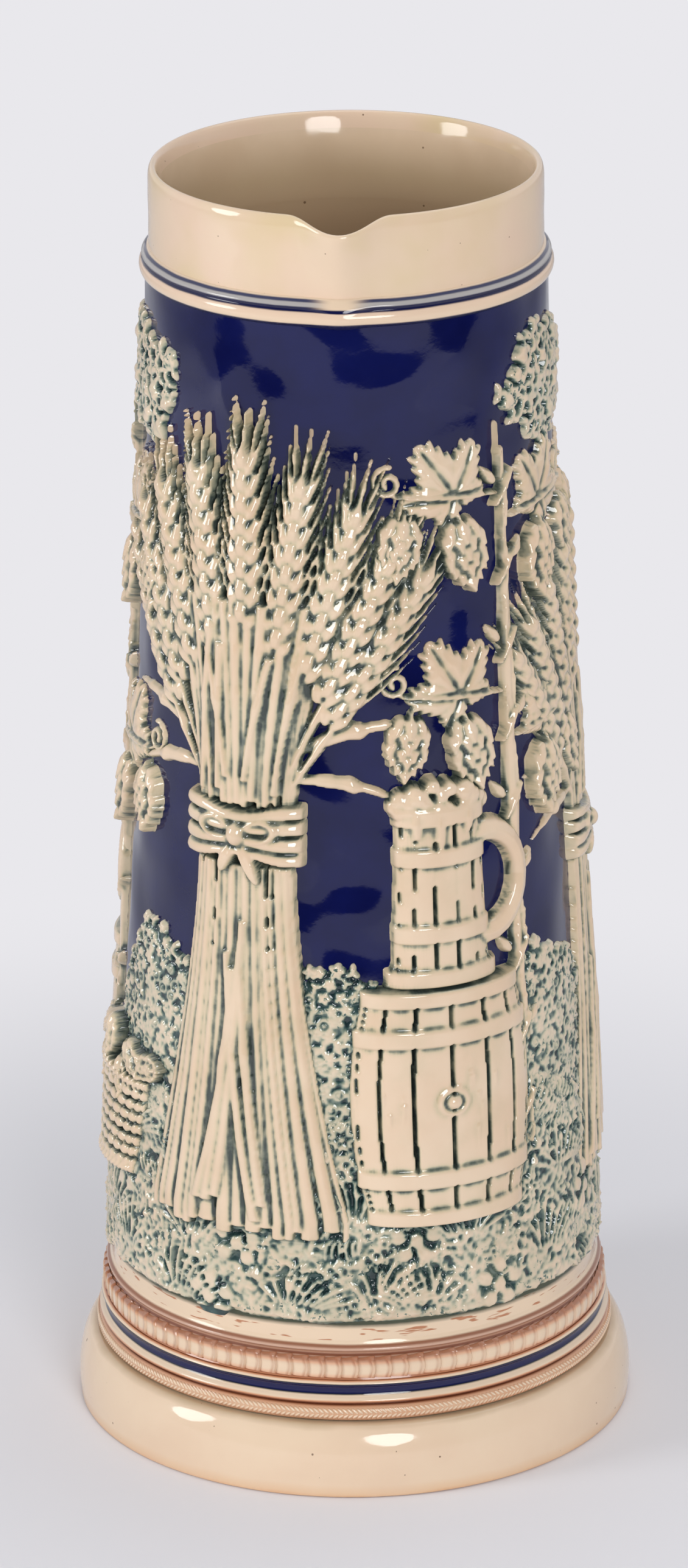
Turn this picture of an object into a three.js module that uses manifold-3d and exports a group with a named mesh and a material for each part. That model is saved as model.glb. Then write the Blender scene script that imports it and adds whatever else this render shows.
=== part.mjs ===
// A tall tapered stoneware beer jug with a pulled pouring lip. It is put together the way a potter
// puts one together: a slab floor, a tapering wall, a collar drawn out into a lip, a foot moulding,
// rouletted bands, a strap handle, and sprigs of brewing relief laid on the blue panel.
// Millimetres, +Z up, the lip towards -Y, the handle towards +Y, and the origin at the centre of the
// circle that the foot stands on. An angle round the jug is 0 at the lip and grows towards +X.
import * as THREE from "three";
import { mergeVertices } from "three/addons/utils/BufferGeometryUtils.js";
import Module from "manifold-3d";

const wasm = await Module();
wasm.setup();

const DEGREE = Math.PI / 180;
const SEGMENTS = 40; // flats round a turned piece
const WALL_LEVELS = 5; // straight lengths that the curved wall is made of
const JOINT = 0.3; // the slip joint between two luted pieces

// The thrown body
const HEIGHT = 370;
const WALL_TOP_RADIUS = 56;
const WALL_FOOT_RADIUS = 72.9;
const WALL_TAPER = 1.44; // 1 is a straight cone, and more keeps the top narrow for longer
const WALL_THICKNESS = 5.5;
const FLOOR_THICKNESS = 8;
const FOOT_RECESS = 1.5; // hollow under the floor

// The foot moulding
const FOOT_FLARE = 7.5; // how far the foot stands out from the wall's own foot
const FOOT_HEIGHT = 21;
const FOOT_SHOULDER = 2.7; // ledge round the wall before the moulding curves down
const FOOT_BELLY = 6; // height of its widest point
const FOOT_EDGE = 1.2; // small round at the table
const FOOT_LEDGE = 4; // width of the seat under the floor slab
const FOOT_SEAT = 4; // height of that seat

// The bands above the foot, from the table up
const BEAD_BAND_HEIGHT = 4.6;
const BEAD_BAND_DEPTH = 3.1;
const GROOVE_BAND_HEIGHT = 6.8;
const GROOVE_BAND_DEPTH = 2.5;
const ROPE_BAND_HEIGHT = 9.7;
const ROPE_BAND_DEPTH = 2.3;
const LEDGE_HEIGHT = 7; // plain strip below the relief

// The collar and its lip
const COLLAR_HEIGHT = 24;
const COLLAR_SET_IN = 1.1; // from the top of the wall to the collar
const COLLAR_THICKNESS = 4.3;
const RIM_ROUND = 1.9;
const NECK_BEAD_HEIGHT = 7.5;
const NECK_BEAD_DEPTH = 1.7;
const NECK_BEAD_RISE = 1.4; // how far the bead laps up the collar
const LIP_HALF_ANGLE = 16;
const LIP_REACH = 7;
const LIP_DROP = 2.4;

// The strap handle
const HANDLE_WIDTH = 20;
const HANDLE_THICKNESS = 11;
const HANDLE_REACH = 46; // from the wall to the strap's middle line
const HANDLE_DROP = 23; // from the neck bead to the upper root
const HANDLE_SPAN = 176; // between the roots
const HANDLE_ANGLE = 180; // opposite the lip
const HANDLE_ROOT = 6; // how far a root pad spreads past the strap
const HANDLE_ROOT_DEPTH = 3;

// The relief, as it is drawn on a flat sheet that is then fitted to the panel
const SHEET_HEIGHT = 289.6;
const RELIEF_EDGE = 0.8; // height of a sprig's edge above the wall
const RELIEF_SINK = 2; // how far a sprig starts under the wall before it is trimmed
const GROUND_DEPTH = 2.2;
const GROUND_HEIGHT = 60;
const GROUND_WAVE = 6;
const TUFTS = 22; // main tufts of the ground, in two staggered rows
const TUFT_DEPTH = 1.9; // how far a tuft stands out from the ground
const FOREGROUND = 30; // from the sheet's lower edge to what stands in front
const POLE_WIDTH = 6;
const POLE_DEPTH = 2.6;
const POLE_LENGTH = 205;
const POLE_FOOT = 45;
const LEAF_SIZE = 37;
const LEAF_DEPTH = 2.4;
const LOBE_SPREAD = 62 * DEGREE; // half the angle that one lobe of a leaf spans
const CONE_LENGTH = 21;
const CONE_WIDTH = 14;
const CONE_DEPTH = 3.6;
const SKIRT_HEIGHT = 84;
const SKIRT_HALF_WIDTH = 27;
const WAIST_HALF_WIDTH = 12.5;
const SASH_HEIGHT = 15;
const CROWN_HEIGHT = 52; // straw above the sash
const CROWN_HALF_WIDTH = 21;
const STRAW_DEPTH = 4.4;
const EAR_LENGTH = 46;
const EAR_WIDTH = 7.5;
const EAR_DEPTH = 2.6;
const EARS = 9;
const EAR_FAN = 32; // tilt of the outermost ear
const CASK_HEIGHT = 58;
const CASK_HALF_WIDTH = 23;
const CASK_DEPTH = 5;
const TANKARD_HEIGHT = 44;
const TANKARD_HALF_WIDTH = 13;
const TANKARD_DEPTH = 4;
const TANKARD_EAR = 10; // how far its handle stands out to the side
const BASKET_HEIGHT = 30;
const BASKET_HALF_WIDTH = 22;
const BASKET_DEPTH = 4.6;
const HEAP_HEIGHT = 15;
const BUSH_WIDTH = 40;
const BUSH_HEIGHT = 56;
const BUSH_FOOT = 40;
const BUSH_DEPTH = 2.4;
const BOUGH_WIDTH = 46;
const BOUGH_HEIGHT = 36;
const BOUGH_DROP = 8; // from the neck bead to the top of a bough

// Levels and radii that follow from the sizes above
const FOOT_RADIUS = WALL_FOOT_RADIUS + FOOT_FLARE;
const COLLAR_RADIUS = WALL_TOP_RADIUS - COLLAR_SET_IN;
const WALL_BOTTOM = FOOT_RECESS + FLOOR_THICKNESS + JOINT;
const COLLAR_BOTTOM = HEIGHT - COLLAR_HEIGHT;
const WALL_TOP = COLLAR_BOTTOM - JOINT;
const BEAD_BAND_BOTTOM = FOOT_HEIGHT + JOINT;
const GROOVE_BAND_BOTTOM = BEAD_BAND_BOTTOM + BEAD_BAND_HEIGHT + JOINT;
const ROPE_BAND_BOTTOM = GROOVE_BAND_BOTTOM + GROOVE_BAND_HEIGHT + JOINT;
const PANEL_BOTTOM = ROPE_BAND_BOTTOM + ROPE_BAND_HEIGHT + LEDGE_HEIGHT;
const NECK_BEAD_BOTTOM = COLLAR_BOTTOM + NECK_BEAD_RISE - NECK_BEAD_HEIGHT;
const PANEL_TOP = NECK_BEAD_BOTTOM - JOINT;
const HANDLE_TOP = SHEET_HEIGHT - HANDLE_DROP;
const HANDLE_FOOT = HANDLE_TOP - HANDLE_SPAN;

const glazes = {
  cream: new THREE.MeshStandardMaterial({ color: 0xe6cfae, roughness: 0.22, metalness: 0 }),
  cobalt: new THREE.MeshStandardMaterial({ color: 0x1b1f5c, roughness: 0.14, metalness: 0 }),
  relief: new THREE.MeshStandardMaterial({ color: 0xe2cba6, roughness: 0.25, metalness: 0 }),
  meadow: new THREE.MeshStandardMaterial({ color: 0x9fae98, roughness: 0.28, metalness: 0 }),
  russet: new THREE.MeshStandardMaterial({ color: 0xc08a66, roughness: 0.3, metalness: 0 }),
};

const jug = new THREE.Group();

/** The wall's outside radius at a height. */
function wallRadius(z) {
  const down = THREE.MathUtils.clamp((WALL_TOP - z) / (WALL_TOP - WALL_BOTTOM), 0, 1);
  return WALL_TOP_RADIUS + (WALL_FOOT_RADIUS - WALL_TOP_RADIUS) * down ** WALL_TAPER;
}

/** Adds a named piece to the jug. */
function add(name, geometry, glaze) {
  const mesh = new THREE.Mesh(geometry, glaze);
  mesh.name = name;
  jug.add(mesh);
}

/** A turned piece from a closed profile of [radius, height] points, listed up the outside. */
function turned(profile) {
  const points = [...profile, profile[0]].map(([r, z]) => new THREE.Vector2(r, z));
  return new THREE.LatheGeometry(points, SEGMENTS).rotateX(Math.PI / 2);
}

/** Evenly spaced numbers from a to b. */
function steps(a, b, count) {
  return Array.from({ length: count + 1 }, (_, i) => a + ((b - a) * i) / count);
}

/** A closed mesh from points and faces. */
function meshOf(points, faces) {
  const geometry = new THREE.BufferGeometry();
  geometry.setAttribute("position", new THREE.Float32BufferAttribute(points.flat(), 3));
  geometry.setIndex(faces.flat());
  return geometry;
}

/** A ring whose closed section may change with the angle round the jug. */
function sweptRing(angles, sectionAt) {
  const points = [];
  const faces = [];
  const count = sectionAt(0).length;
  angles.forEach((angle, a) => {
    for (const [r, z] of sectionAt(angle)) {
      points.push([r * Math.sin(angle * DEGREE), -r * Math.cos(angle * DEGREE), z]);
    }
    const here = a * count;
    const next = ((a + 1) % angles.length) * count;
    for (let i = 0; i < count; i++) {
      const j = (i + 1) % count;
      faces.push([here + i, next + i, next + j], [here + i, next + j, here + j]);
    }
  });
  return meshOf(points, faces);
}

/** A three.js geometry as a solid that can be joined and cut. */
function solidOf(geometry) {
  const bare = geometry.clone();
  bare.deleteAttribute("normal");
  bare.deleteAttribute("uv");
  const merged = mergeVertices(bare, 1e-4);
  return new wasm.Manifold(
    new wasm.Mesh({
      numProp: 3,
      vertProperties: new Float32Array(merged.attributes.position.array),
      triVerts: new Uint32Array(merged.index.array),
    }),
  );
}

/** A solid as a three.js geometry. */
function geometryOf(solid) {
  const mesh = solid.getMesh();
  const geometry = new THREE.BufferGeometry();
  geometry.setAttribute("position", new THREE.BufferAttribute(mesh.vertProperties, 3));
  geometry.setIndex(new THREE.BufferAttribute(mesh.triVerts, 1));
  return geometry;
}

/** The solids joined into one. */
function joined(solids) {
  return solids.reduce((all, solid) => all.add(solid));
}

/** The biggest body of a solid that a cut may have split. */
function biggest(solid) {
  return solid.decompose().reduce((a, b) => (b.volume() > a.volume() ? b : a));
}

// The floor slab: its rebated rim lies on the foot's seat, and its middle drops through it
function floorSlab() {
  const top = FOOT_RECESS + FLOOR_THICKNESS;
  const middle = WALL_FOOT_RADIUS - FOOT_LEDGE - JOINT;
  return turned([
    [0, FOOT_RECESS],
    [middle, FOOT_RECESS],
    [middle, FOOT_SEAT + JOINT],
    [WALL_FOOT_RADIUS, FOOT_SEAT + JOINT],
    [WALL_FOOT_RADIUS, top],
    [0, top],
  ]);
}

// The tapering wall, standing on the slab
function bodyWall() {
  const levels = steps(WALL_BOTTOM, WALL_TOP, WALL_LEVELS);
  const outside = levels.map((z) => [wallRadius(z), z]);
  const inside = levels.map((z) => [wallRadius(z) - WALL_THICKNESS, z]).reverse();
  return turned([...outside, ...inside]);
}

// The foot moulding: a quarter-round cushion outside, a stepped seat inside
function footRing() {
  const shoulder = wallRadius(FOOT_HEIGHT) + FOOT_SHOULDER;
  const cushion = steps(0, 90, 4).map((angle) => [
    shoulder + (FOOT_RADIUS - shoulder) * Math.cos(angle * DEGREE),
    FOOT_BELLY + (FOOT_HEIGHT - FOOT_BELLY) * Math.sin(angle * DEGREE),
  ]);
  const bore = WALL_FOOT_RADIUS + JOINT;
  return turned([
    [WALL_FOOT_RADIUS - FOOT_LEDGE, 0],
    [FOOT_RADIUS - FOOT_EDGE, 0],
    [FOOT_RADIUS, FOOT_EDGE],
    ...cushion,
    [wallRadius(FOOT_HEIGHT) + JOINT, FOOT_HEIGHT],
    [bore, WALL_BOTTOM],
    [bore, FOOT_SEAT],
    [WALL_FOOT_RADIUS - FOOT_LEDGE, FOOT_SEAT],
  ]);
}

/** A band laid round the wall: its shape is a list of [share of its height, share of its depth]. */
function band(bottom, height, depth, shape) {
  const outside = shape.map(([share, proud]) => {
    const z = bottom + share * height;
    return [wallRadius(z) + proud * depth, z];
  });
  const inside = [1, 0].map((share) => {
    const z = bottom + share * height;
    return [wallRadius(z) + JOINT, z];
  });
  return turned([...outside, ...inside]);
}

// The bead that hides the joint of wall and collar: a torus, a groove and a small fillet
function neckBead() {
  const z = (share) => NECK_BEAD_BOTTOM + share * NECK_BEAD_HEIGHT;
  const shape = [
    [0, 0.45],
    [0.12, 0.82],
    [0.34, 1],
    [0.58, 0.42],
    [0.72, 0.53],
  ];
  return turned([
    ...shape.map(([share, proud]) => [WALL_TOP_RADIUS + proud * NECK_BEAD_DEPTH, z(share)]),
    [COLLAR_RADIUS + 2 * JOINT, z(1)],
    [COLLAR_RADIUS + JOINT, z(1)],
    [COLLAR_RADIUS + JOINT, COLLAR_BOTTOM],
    [WALL_TOP_RADIUS + JOINT, COLLAR_BOTTOM],
    [wallRadius(z(0)) + JOINT, z(0)],
  ]);
}

/** How much of the lip's pull is felt at an angle round the rim. */
function lipShare(angle) {
  const wrapped = angle > 180 ? angle - 360 : angle;
  if (Math.abs(wrapped) >= LIP_HALF_ANGLE) return 0;
  return 0.5 + 0.5 * Math.cos((wrapped / LIP_HALF_ANGLE) * Math.PI);
}

// The collar, pulled forward and down into the pouring lip
function neckCollar() {
  const start = NECK_BEAD_BOTTOM + NECK_BEAD_HEIGHT + JOINT;
  const inner = COLLAR_RADIUS - COLLAR_THICKNESS;
  const upright = steps(start, HEIGHT - RIM_ROUND, 2);
  const rim = steps(0, 180, 4).map((angle) => [
    COLLAR_RADIUS - COLLAR_THICKNESS / 2 + (COLLAR_THICKNESS / 2) * Math.cos(angle * DEGREE),
    HEIGHT - RIM_ROUND + RIM_ROUND * Math.sin(angle * DEGREE),
  ]);
  const section = [
    [COLLAR_RADIUS, COLLAR_BOTTOM],
    ...upright.slice(0, -1).map((z) => [COLLAR_RADIUS, z]),
    ...rim,
    ...upright
      .slice(0, -1)
      .map((z) => [inner, z])
      .reverse(),
    [inner, COLLAR_BOTTOM],
  ];
  const near = steps(-LIP_HALF_ANGLE, LIP_HALF_ANGLE, 10);
  const rest = steps(LIP_HALF_ANGLE, 360 - LIP_HALF_ANGLE, 36).slice(1, -1);
  return sweptRing([...near, ...rest], (angle) =>
    section.map(([r, z]) => {
      const up = Math.max(0, (z - start) / (HEIGHT - start));
      const pull = lipShare(angle);
      return [r + LIP_REACH * pull * up ** 1.3, z - LIP_DROP * pull * up];
    }),
  );
}

// The handle's middle line, in the plane of the lip
function handleLine() {
  const top = panelZ(HANDLE_TOP);
  const foot = panelZ(HANDLE_FOOT);
  const drop = top - foot;
  const out = (share, z) => wallRadius(z) + share * HANDLE_REACH;
  return new THREE.CatmullRomCurve3(
    [
      [out(-0.09, top), top],
      [out(0.3, top), top + 0.035 * drop],
      [out(0.78, top), top - 0.01 * drop],
      [out(1, top), top - 0.16 * drop],
      [out(0.98, top), top - 0.42 * drop],
      [out(0.8, top), top - 0.7 * drop],
      [out(0.42, foot), foot + 0.1 * drop],
      [out(-0.07, foot), foot],
    ].map(([y, z]) => new THREE.Vector3(0, y, z)),
  );
}

/** The strap handle, or the same strap grown by a clearance. */
function strap(grow) {
  const section = new THREE.Shape();
  const sides = 10;
  for (let i = 0; i < sides; i++) {
    const turn = (i / sides) * 2 * Math.PI;
    const squared = (value) => Math.sign(value) * Math.abs(value) ** 0.7;
    const x = squared(Math.cos(turn)) * (HANDLE_WIDTH / 2 + grow);
    const y = squared(Math.sin(turn)) * (HANDLE_THICKNESS / 2 + grow);
    if (i === 0) section.moveTo(x, y);
    else section.lineTo(x, y);
  }
  section.closePath();
  return new THREE.ExtrudeGeometry(section, { steps: 22, extrudePath: handleLine() });
}

/** Everything within a clearance of the wall, used to seat a piece on it. */
function wallCutter() {
  const levels = steps(WALL_BOTTOM, WALL_TOP, WALL_LEVELS);
  return solidOf(
    turned([
      [0, WALL_BOTTOM],
      ...levels.map((z) => [wallRadius(z) + JOINT, z]),
      [0, WALL_TOP],
    ]),
  );
}

/** The grassy ground round the foot of the relief, or the same grown by a clearance. */
function ground(grow) {
  const angles = steps(0, 360, 4 * TUFTS).slice(0, -1);
  const wave = (angle) => Math.sin(3 * angle * DEGREE) + 0.6 * Math.cos(7 * angle * DEGREE);
  const rows = [0, 0.15, 0.3, 0.5, 0.7, 0.88, 1];
  return sweptRing(angles, (angle) => {
    const bottom = PANEL_BOTTOM - grow;
    const top = panelZ(GROUND_HEIGHT + GROUND_WAVE * wave(angle)) + grow;
    const beat = Math.cos((TUFTS / 2) * angle * DEGREE);
    const outside = rows.map((share) => {
      const z = bottom + share * (top - bottom);
      const tuft = Math.max(0, share < 0.5 ? beat : -beat) * Math.sin(2 * Math.PI * (share % 0.5));
      const depth = GROUND_DEPTH * (share < 1 ? 1 : 0.6) + TUFT_DEPTH * tuft + grow;
      return [wallRadius(z) + depth, z];
    });
    const inside = [1, 0.5, 0].map((share) => {
      const z = bottom + share * (top - bottom);
      return [wallRadius(z) + JOINT - grow, z];
    });
    return [...outside, ...inside];
  });
}

/**
 * A half-round form laid flat along v. Each row is [v, half width, depth], and w is the height
 * above the wall. The underside lies below the wall, where it is trimmed later.
 */
function halfRound(rows, columns = 6) {
  const points = [];
  const faces = [];
  const count = columns + 3;
  for (const [v, halfWidth, depth] of rows) {
    for (const turn of steps(180, 0, columns)) {
      const u = halfWidth * Math.cos(turn * DEGREE);
      points.push([u, v, RELIEF_EDGE + depth * Math.sin(turn * DEGREE)]);
    }
    points.push([halfWidth, v, -RELIEF_SINK], [-halfWidth, v, -RELIEF_SINK]);
  }
  for (let row = 0; row + 1 < rows.length; row++) {
    for (let i = 0; i < count; i++) {
      const a = row * count + i;
      const b = row * count + ((i + 1) % count);
      faces.push([a, b, b + count], [a, b + count, a + count]);
    }
  }
  const last = (rows.length - 1) * count;
  for (let i = 1; i + 1 < count; i++) {
    faces.push([0, i + 1, i], [last, last + i, last + i + 1]);
  }
  return meshOf(points, faces);
}

/** A domed form inside an outline of [u, v] points that can all be seen from its middle. */
function domed(outline, depth) {
  const points = [];
  const faces = [];
  const count = outline.length;
  const rings = [1, 0.6];
  for (const share of rings) {
    const rise = RELIEF_EDGE + depth * Math.sqrt(1 - share * share);
    outline.forEach(([u, v]) => points.push([u * share, v * share, rise]));
  }
  outline.forEach(([u, v]) => points.push([u, v, -RELIEF_SINK]));
  const top = points.push([0, 0, RELIEF_EDGE + depth]) - 1;
  const under = points.push([0, 0, -RELIEF_SINK]) - 1;
  const base = rings.length * count;
  const inner = base - count;
  for (let i = 0; i < count; i++) {
    const j = (i + 1) % count;
    for (let ring = 0; ring + 1 < rings.length; ring++) {
      const a = ring * count;
      const b = a + count;
      faces.push([a + i, a + j, b + j], [a + i, b + j, b + i]);
    }
    faces.push([inner + i, inner + j, top]);
    faces.push([base + i, base + j, j], [base + i, j, i]);
    faces.push([under, base + j, base + i]);
  }
  return meshOf(points, faces);
}

/** Height of a level of the drawn sheet, once the sheet is fitted to the panel. */
function panelZ(level) {
  return PANEL_BOTTOM + (level * (PANEL_TOP - PANEL_BOTTOM)) / SHEET_HEIGHT;
}

/** Bends a flat form round the wall, tilted and moved along the drawn sheet first. */
function wrapped(geometry, angle, level, tilt = 0, u0 = 0, v0 = 0) {
  const position = geometry.attributes.position;
  const cos = Math.cos(tilt * DEGREE);
  const sin = Math.sin(tilt * DEGREE);
  for (let i = 0; i < position.count; i++) {
    const u = position.getX(i);
    const v = position.getY(i);
    const height = panelZ(level + v0 + v * cos - u * sin);
    const r = wallRadius(height);
    const turn = angle * DEGREE + (u0 + u * cos + v * sin) / r;
    const out = r + position.getZ(i);
    position.setXYZ(i, out * Math.sin(turn), -out * Math.cos(turn), height);
  }
  return solidOf(geometry);
}

const seat = wallCutter();
const groundGrown = solidOf(ground(JOINT));
const laid = [];

/**
 * Lays one sprig: trims it to the wall, the ground, the panel and the sprigs laid before it.
 * The form is a function of a clearance, so that a later sprig can be cut clear of this one.
 */
function sprig(name, form, glaze = glazes.relief) {
  let solid = form(0).subtract(seat).subtract(groundGrown);
  for (const before of laid) solid = solid.subtract(before);
  const neck = solidOf(
    turned([
      [0, PANEL_TOP],
      [2 * WALL_TOP_RADIUS, PANEL_TOP],
      [2 * WALL_TOP_RADIUS, HEIGHT],
      [0, HEIGHT],
    ]),
  );
  add(name, geometryOf(biggest(solid.subtract(neck))), glaze);
  laid.push(form(JOINT));
}

/** A bound sheaf of barley: the skirt of straw, the sash round it, and the crown with its ears. */
function sheaf(name, angle, scale) {
  const foot = FOREGROUND;
  const skirt = scale * SKIRT_HEIGHT;
  const sash = scale * SASH_HEIGHT;
  const crown = scale * CROWN_HEIGHT;
  const waist = scale * WAIST_HALF_WIDTH;
  const flare = (share) => waist + (scale * SKIRT_HALF_WIDTH - waist) * (1 - share) ** 1.6;
  const depth = scale * STRAW_DEPTH;
  sprig(`${name}_skirt`, (g) => {
    const rows = steps(0, 1, 4).map((share) => [
      share * skirt + (2 * share - 1) * g,
      flare(share) + g,
      depth + g,
    ]);
    return wrapped(halfRound(rows), angle, foot);
  });
  sprig(`${name}_sash`, (g) => {
    const rows = [
      [JOINT - g, 1.07 * waist, depth],
      [0.3 * sash, 1.16 * waist, 1.2 * depth],
      [0.7 * sash, 1.16 * waist, 1.2 * depth],
      [sash + g, 1.07 * waist, depth],
    ].map(([v, halfWidth, d]) => [v, halfWidth + g, d + g]);
    return wrapped(halfRound(rows), angle, foot + skirt);
  });
  sprig(`${name}_crown`, (g) => {
    const base = foot + skirt + sash + 2 * JOINT;
    const spread = scale * CROWN_HALF_WIDTH;
    const straw = steps(0, 1, 2).map((share) => [
      share * crown + (2 * share - 1) * g,
      waist + (spread - waist) * share ** 1.4 + g,
      depth * (1 - 0.45 * share) + g,
    ]);
    const ears = steps(-EAR_FAN, EAR_FAN, EARS - 1).map((tilt) => {
      const u = 0.86 * spread * Math.sin((tilt / EAR_FAN) * (Math.PI / 2));
      const v = crown * (0.72 - 0.4 * Math.abs(tilt / EAR_FAN));
      return wrapped(ear(scale, g), angle, base, tilt, u, v);
    });
    return joined([wrapped(halfRound(straw), angle, base), ...ears]);
  });
}

/** One ear of barley, growing along v from its stalk. */
function ear(scale, grow) {
  const rows = [
    [0, 0.35, 0.6],
    [0.4, 1, 1],
    [1, 0.2, 0.3],
  ].map(([share, width, depth]) => [
    share * scale * EAR_LENGTH + (2 * share - 1) * grow,
    (width * scale * EAR_WIDTH) / 2 + grow,
    depth * scale * EAR_DEPTH + grow,
  ]);
  return halfRound(rows, 3);
}

/** A hop leaf: three toothed lobes and two small ones beside the stalk. */
function hopLeaf(size, grow) {
  const points = 16;
  const lobes = [
    [90, 1],
    [28, 0.86],
    [152, 0.86],
    [-32, 0.55],
    [212, 0.55],
  ];
  const outline = Array.from({ length: points }, (_, i) => {
    const angle = (i / points) * 2 * Math.PI - Math.PI / 2;
    const reach = lobes.map(([at, length]) => {
      const off = Math.acos(Math.cos(angle - at * DEGREE)) / LOBE_SPREAD;
      return length * Math.max(0.5, 1 - off ** 1.2);
    });
    const radius = (size / 2) * Math.max(...reach) + grow;
    return [radius * Math.cos(angle), radius * Math.sin(angle)];
  });
  return domed(outline, LEAF_DEPTH + grow);
}

/** A hop cone that hangs from its stalk at v = 0. */
function hopCone(grow) {
  const rows = [
    [1, 0.2, 0.3],
    [0.4, 1, 1],
    [0, 0.5, 0.6],
  ].map(([share, width, depth]) => [
    -share * CONE_LENGTH + (1 - 2 * share) * grow,
    (width * CONE_WIDTH) / 2 + grow,
    depth * CONE_DEPTH + grow,
  ]);
  return halfRound(rows, 4);
}

/** One spray of the hop bine: a leaf beside the pole and two cones that hang below it. */
function spray(angle, level, side, lean, g) {
  const u = side * (POLE_WIDTH / 2 + 0.36 * LEAF_SIZE);
  const near = side * 0.42 * LEAF_SIZE;
  const far = side * 0.85 * LEAF_SIZE;
  return joined([
    wrapped(hopLeaf(LEAF_SIZE, g), angle, level, side * lean, u, 0),
    wrapped(hopCone(g), angle, level, side * 8, near, -0.2 * LEAF_SIZE),
    wrapped(hopCone(g), angle, level, -side * 10, far, -0.13 * LEAF_SIZE),
  ]);
}

/** A hop pole, and the sprays of its bine: each has its share of the pole, its side and its lean. */
function hopPole(name, angle, sprays) {
  sprig(`${name}_pole`, (g) => {
    const rows = steps(0, 1, 5).map((share) => [
      share * POLE_LENGTH + (2 * share - 1) * g,
      (POLE_WIDTH / 2) * (1.1 - 0.3 * share) + g,
      POLE_DEPTH + g,
    ]);
    return wrapped(halfRound(rows, 3), angle, POLE_FOOT);
  });
  sprays.forEach(({ at, side, lean }, i) => {
    const level = POLE_FOOT + at * POLE_LENGTH;
    sprig(`${name}_spray_${i + 1}`, (g) => spray(angle, level, side, lean, g));
  });
}

/** An upright cask with a tankard standing on it. */
function cask(name, angle, scale) {
  const foot = FOREGROUND;
  const height = scale * CASK_HEIGHT;
  sprig(`${name}_cask`, (g) => {
    const rows = steps(0, 1, 5).map((share) => [
      share * height + (2 * share - 1) * g,
      scale * CASK_HALF_WIDTH * (1 - 0.72 * (share - 0.5) ** 2) + g,
      scale * CASK_DEPTH + g,
    ]);
    return wrapped(halfRound(rows), angle, foot);
  });
  sprig(`${name}_tankard`, (g) => {
    const tall = scale * TANKARD_HEIGHT;
    const half = scale * TANKARD_HALF_WIDTH;
    const rows = [
      [0, 1.1],
      [0.12, 0.92],
      [0.9, 0.8],
      [1, 0.86],
    ].map(([share, width]) => [
      share * tall + JOINT + (2 * share - 1) * g,
      width * half + g,
      scale * TANKARD_DEPTH + g,
    ]);
    const grip = scale * TANKARD_EAR;
    const ring = new THREE.TorusGeometry(grip, 0.24 * grip + g, 6, 12).scale(1, 1.25, 1);
    return joined([
      wrapped(halfRound(rows), angle, foot + height),
      wrapped(ring, angle, foot + height, 0, half, 0.52 * tall),
    ]);
  });
}

/** A basket heaped with hop cones. */
function basket(name, angle) {
  const foot = FOREGROUND;
  sprig(`${name}_basket`, (g) => {
    const rows = steps(0, 1, 3).map((share) => [
      share * BASKET_HEIGHT + (2 * share - 1) * g,
      BASKET_HALF_WIDTH * (0.72 + 0.28 * share) + g,
      BASKET_DEPTH + g,
    ]);
    return wrapped(halfRound(rows), angle, foot);
  });
  sprig(`${name}_heap`, (g) => {
    const rows = [
      [0, 0.94],
      [0.45, 0.8],
      [0.85, 0.5],
      [1, 0.2],
    ].map(([share, width]) => [
      share * HEAP_HEIGHT + JOINT + (2 * share - 1) * g,
      BASKET_HALF_WIDTH * width + g,
      BASKET_DEPTH * (1 - 0.4 * share) + g,
    ]);
    return wrapped(halfRound(rows), angle, foot + BASKET_HEIGHT);
  });
}

/** A cloud of leaves with a lobed edge, laid round its middle. */
function foliage(name, angle, level, width, height) {
  sprig(
    name,
    (g) => {
      const outline = steps(0, 360, 20)
        .slice(0, -1)
        .map((turn) => {
          const lobe = 0.86 + 0.14 * Math.abs(Math.sin(2.5 * turn * DEGREE));
          const u = ((lobe * width) / 2 + g) * Math.cos(turn * DEGREE);
          const v = ((lobe * height) / 2 + g) * Math.sin(turn * DEGREE);
          return [u, v];
        });
      return wrapped(domed(outline, BUSH_DEPTH + g), angle, level);
    },
    glazes.meadow,
  );
}

/** A flowering bush that grows out of the ground. */
function bush(name, angle, scale = 1) {
  const level = BUSH_FOOT + (scale * BUSH_HEIGHT) / 2;
  foliage(name, angle, level, scale * BUSH_WIDTH, scale * BUSH_HEIGHT);
}

/** A leafy bough that hangs in from the top of the panel. */
function bough(name, angle) {
  foliage(name, angle, SHEET_HEIGHT - BOUGH_DROP - BOUGH_HEIGHT / 2, BOUGH_WIDTH, BOUGH_HEIGHT);
}

// The turned pieces
add("floor_slab", floorSlab(), glazes.cream);
add("body_wall", bodyWall(), glazes.cobalt);
add("foot_ring", footRing(), glazes.cream);
add("neck_collar", neckCollar(), glazes.cream);
add("neck_bead", neckBead(), glazes.cream);
add(
  "bead_band",
  band(BEAD_BAND_BOTTOM, BEAD_BAND_HEIGHT, BEAD_BAND_DEPTH, [
    [0, 0.45],
    [0.16, 0.77],
    [0.45, 1],
    [0.8, 0.84],
    [1, 0.52],
  ]),
  glazes.russet,
);
add(
  "groove_band",
  band(GROOVE_BAND_BOTTOM, GROOVE_BAND_HEIGHT, GROOVE_BAND_DEPTH, [
    [0, 0.76],
    [0.12, 1],
    [0.3, 0.6],
    [0.68, 0.56],
    [0.84, 0.92],
    [1, 0.72],
  ]),
  glazes.cobalt,
);
add(
  "rope_band",
  band(ROPE_BAND_BOTTOM, ROPE_BAND_HEIGHT, ROPE_BAND_DEPTH, [
    [0, 0.43],
    [0.1, 0.83],
    [0.3, 1],
    [0.52, 0.83],
    [0.64, 0.35],
    [0.8, 0.52],
    [1, 0.26],
  ]),
  glazes.russet,
);
add("ground_band", ground(0), glazes.meadow);

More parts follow.
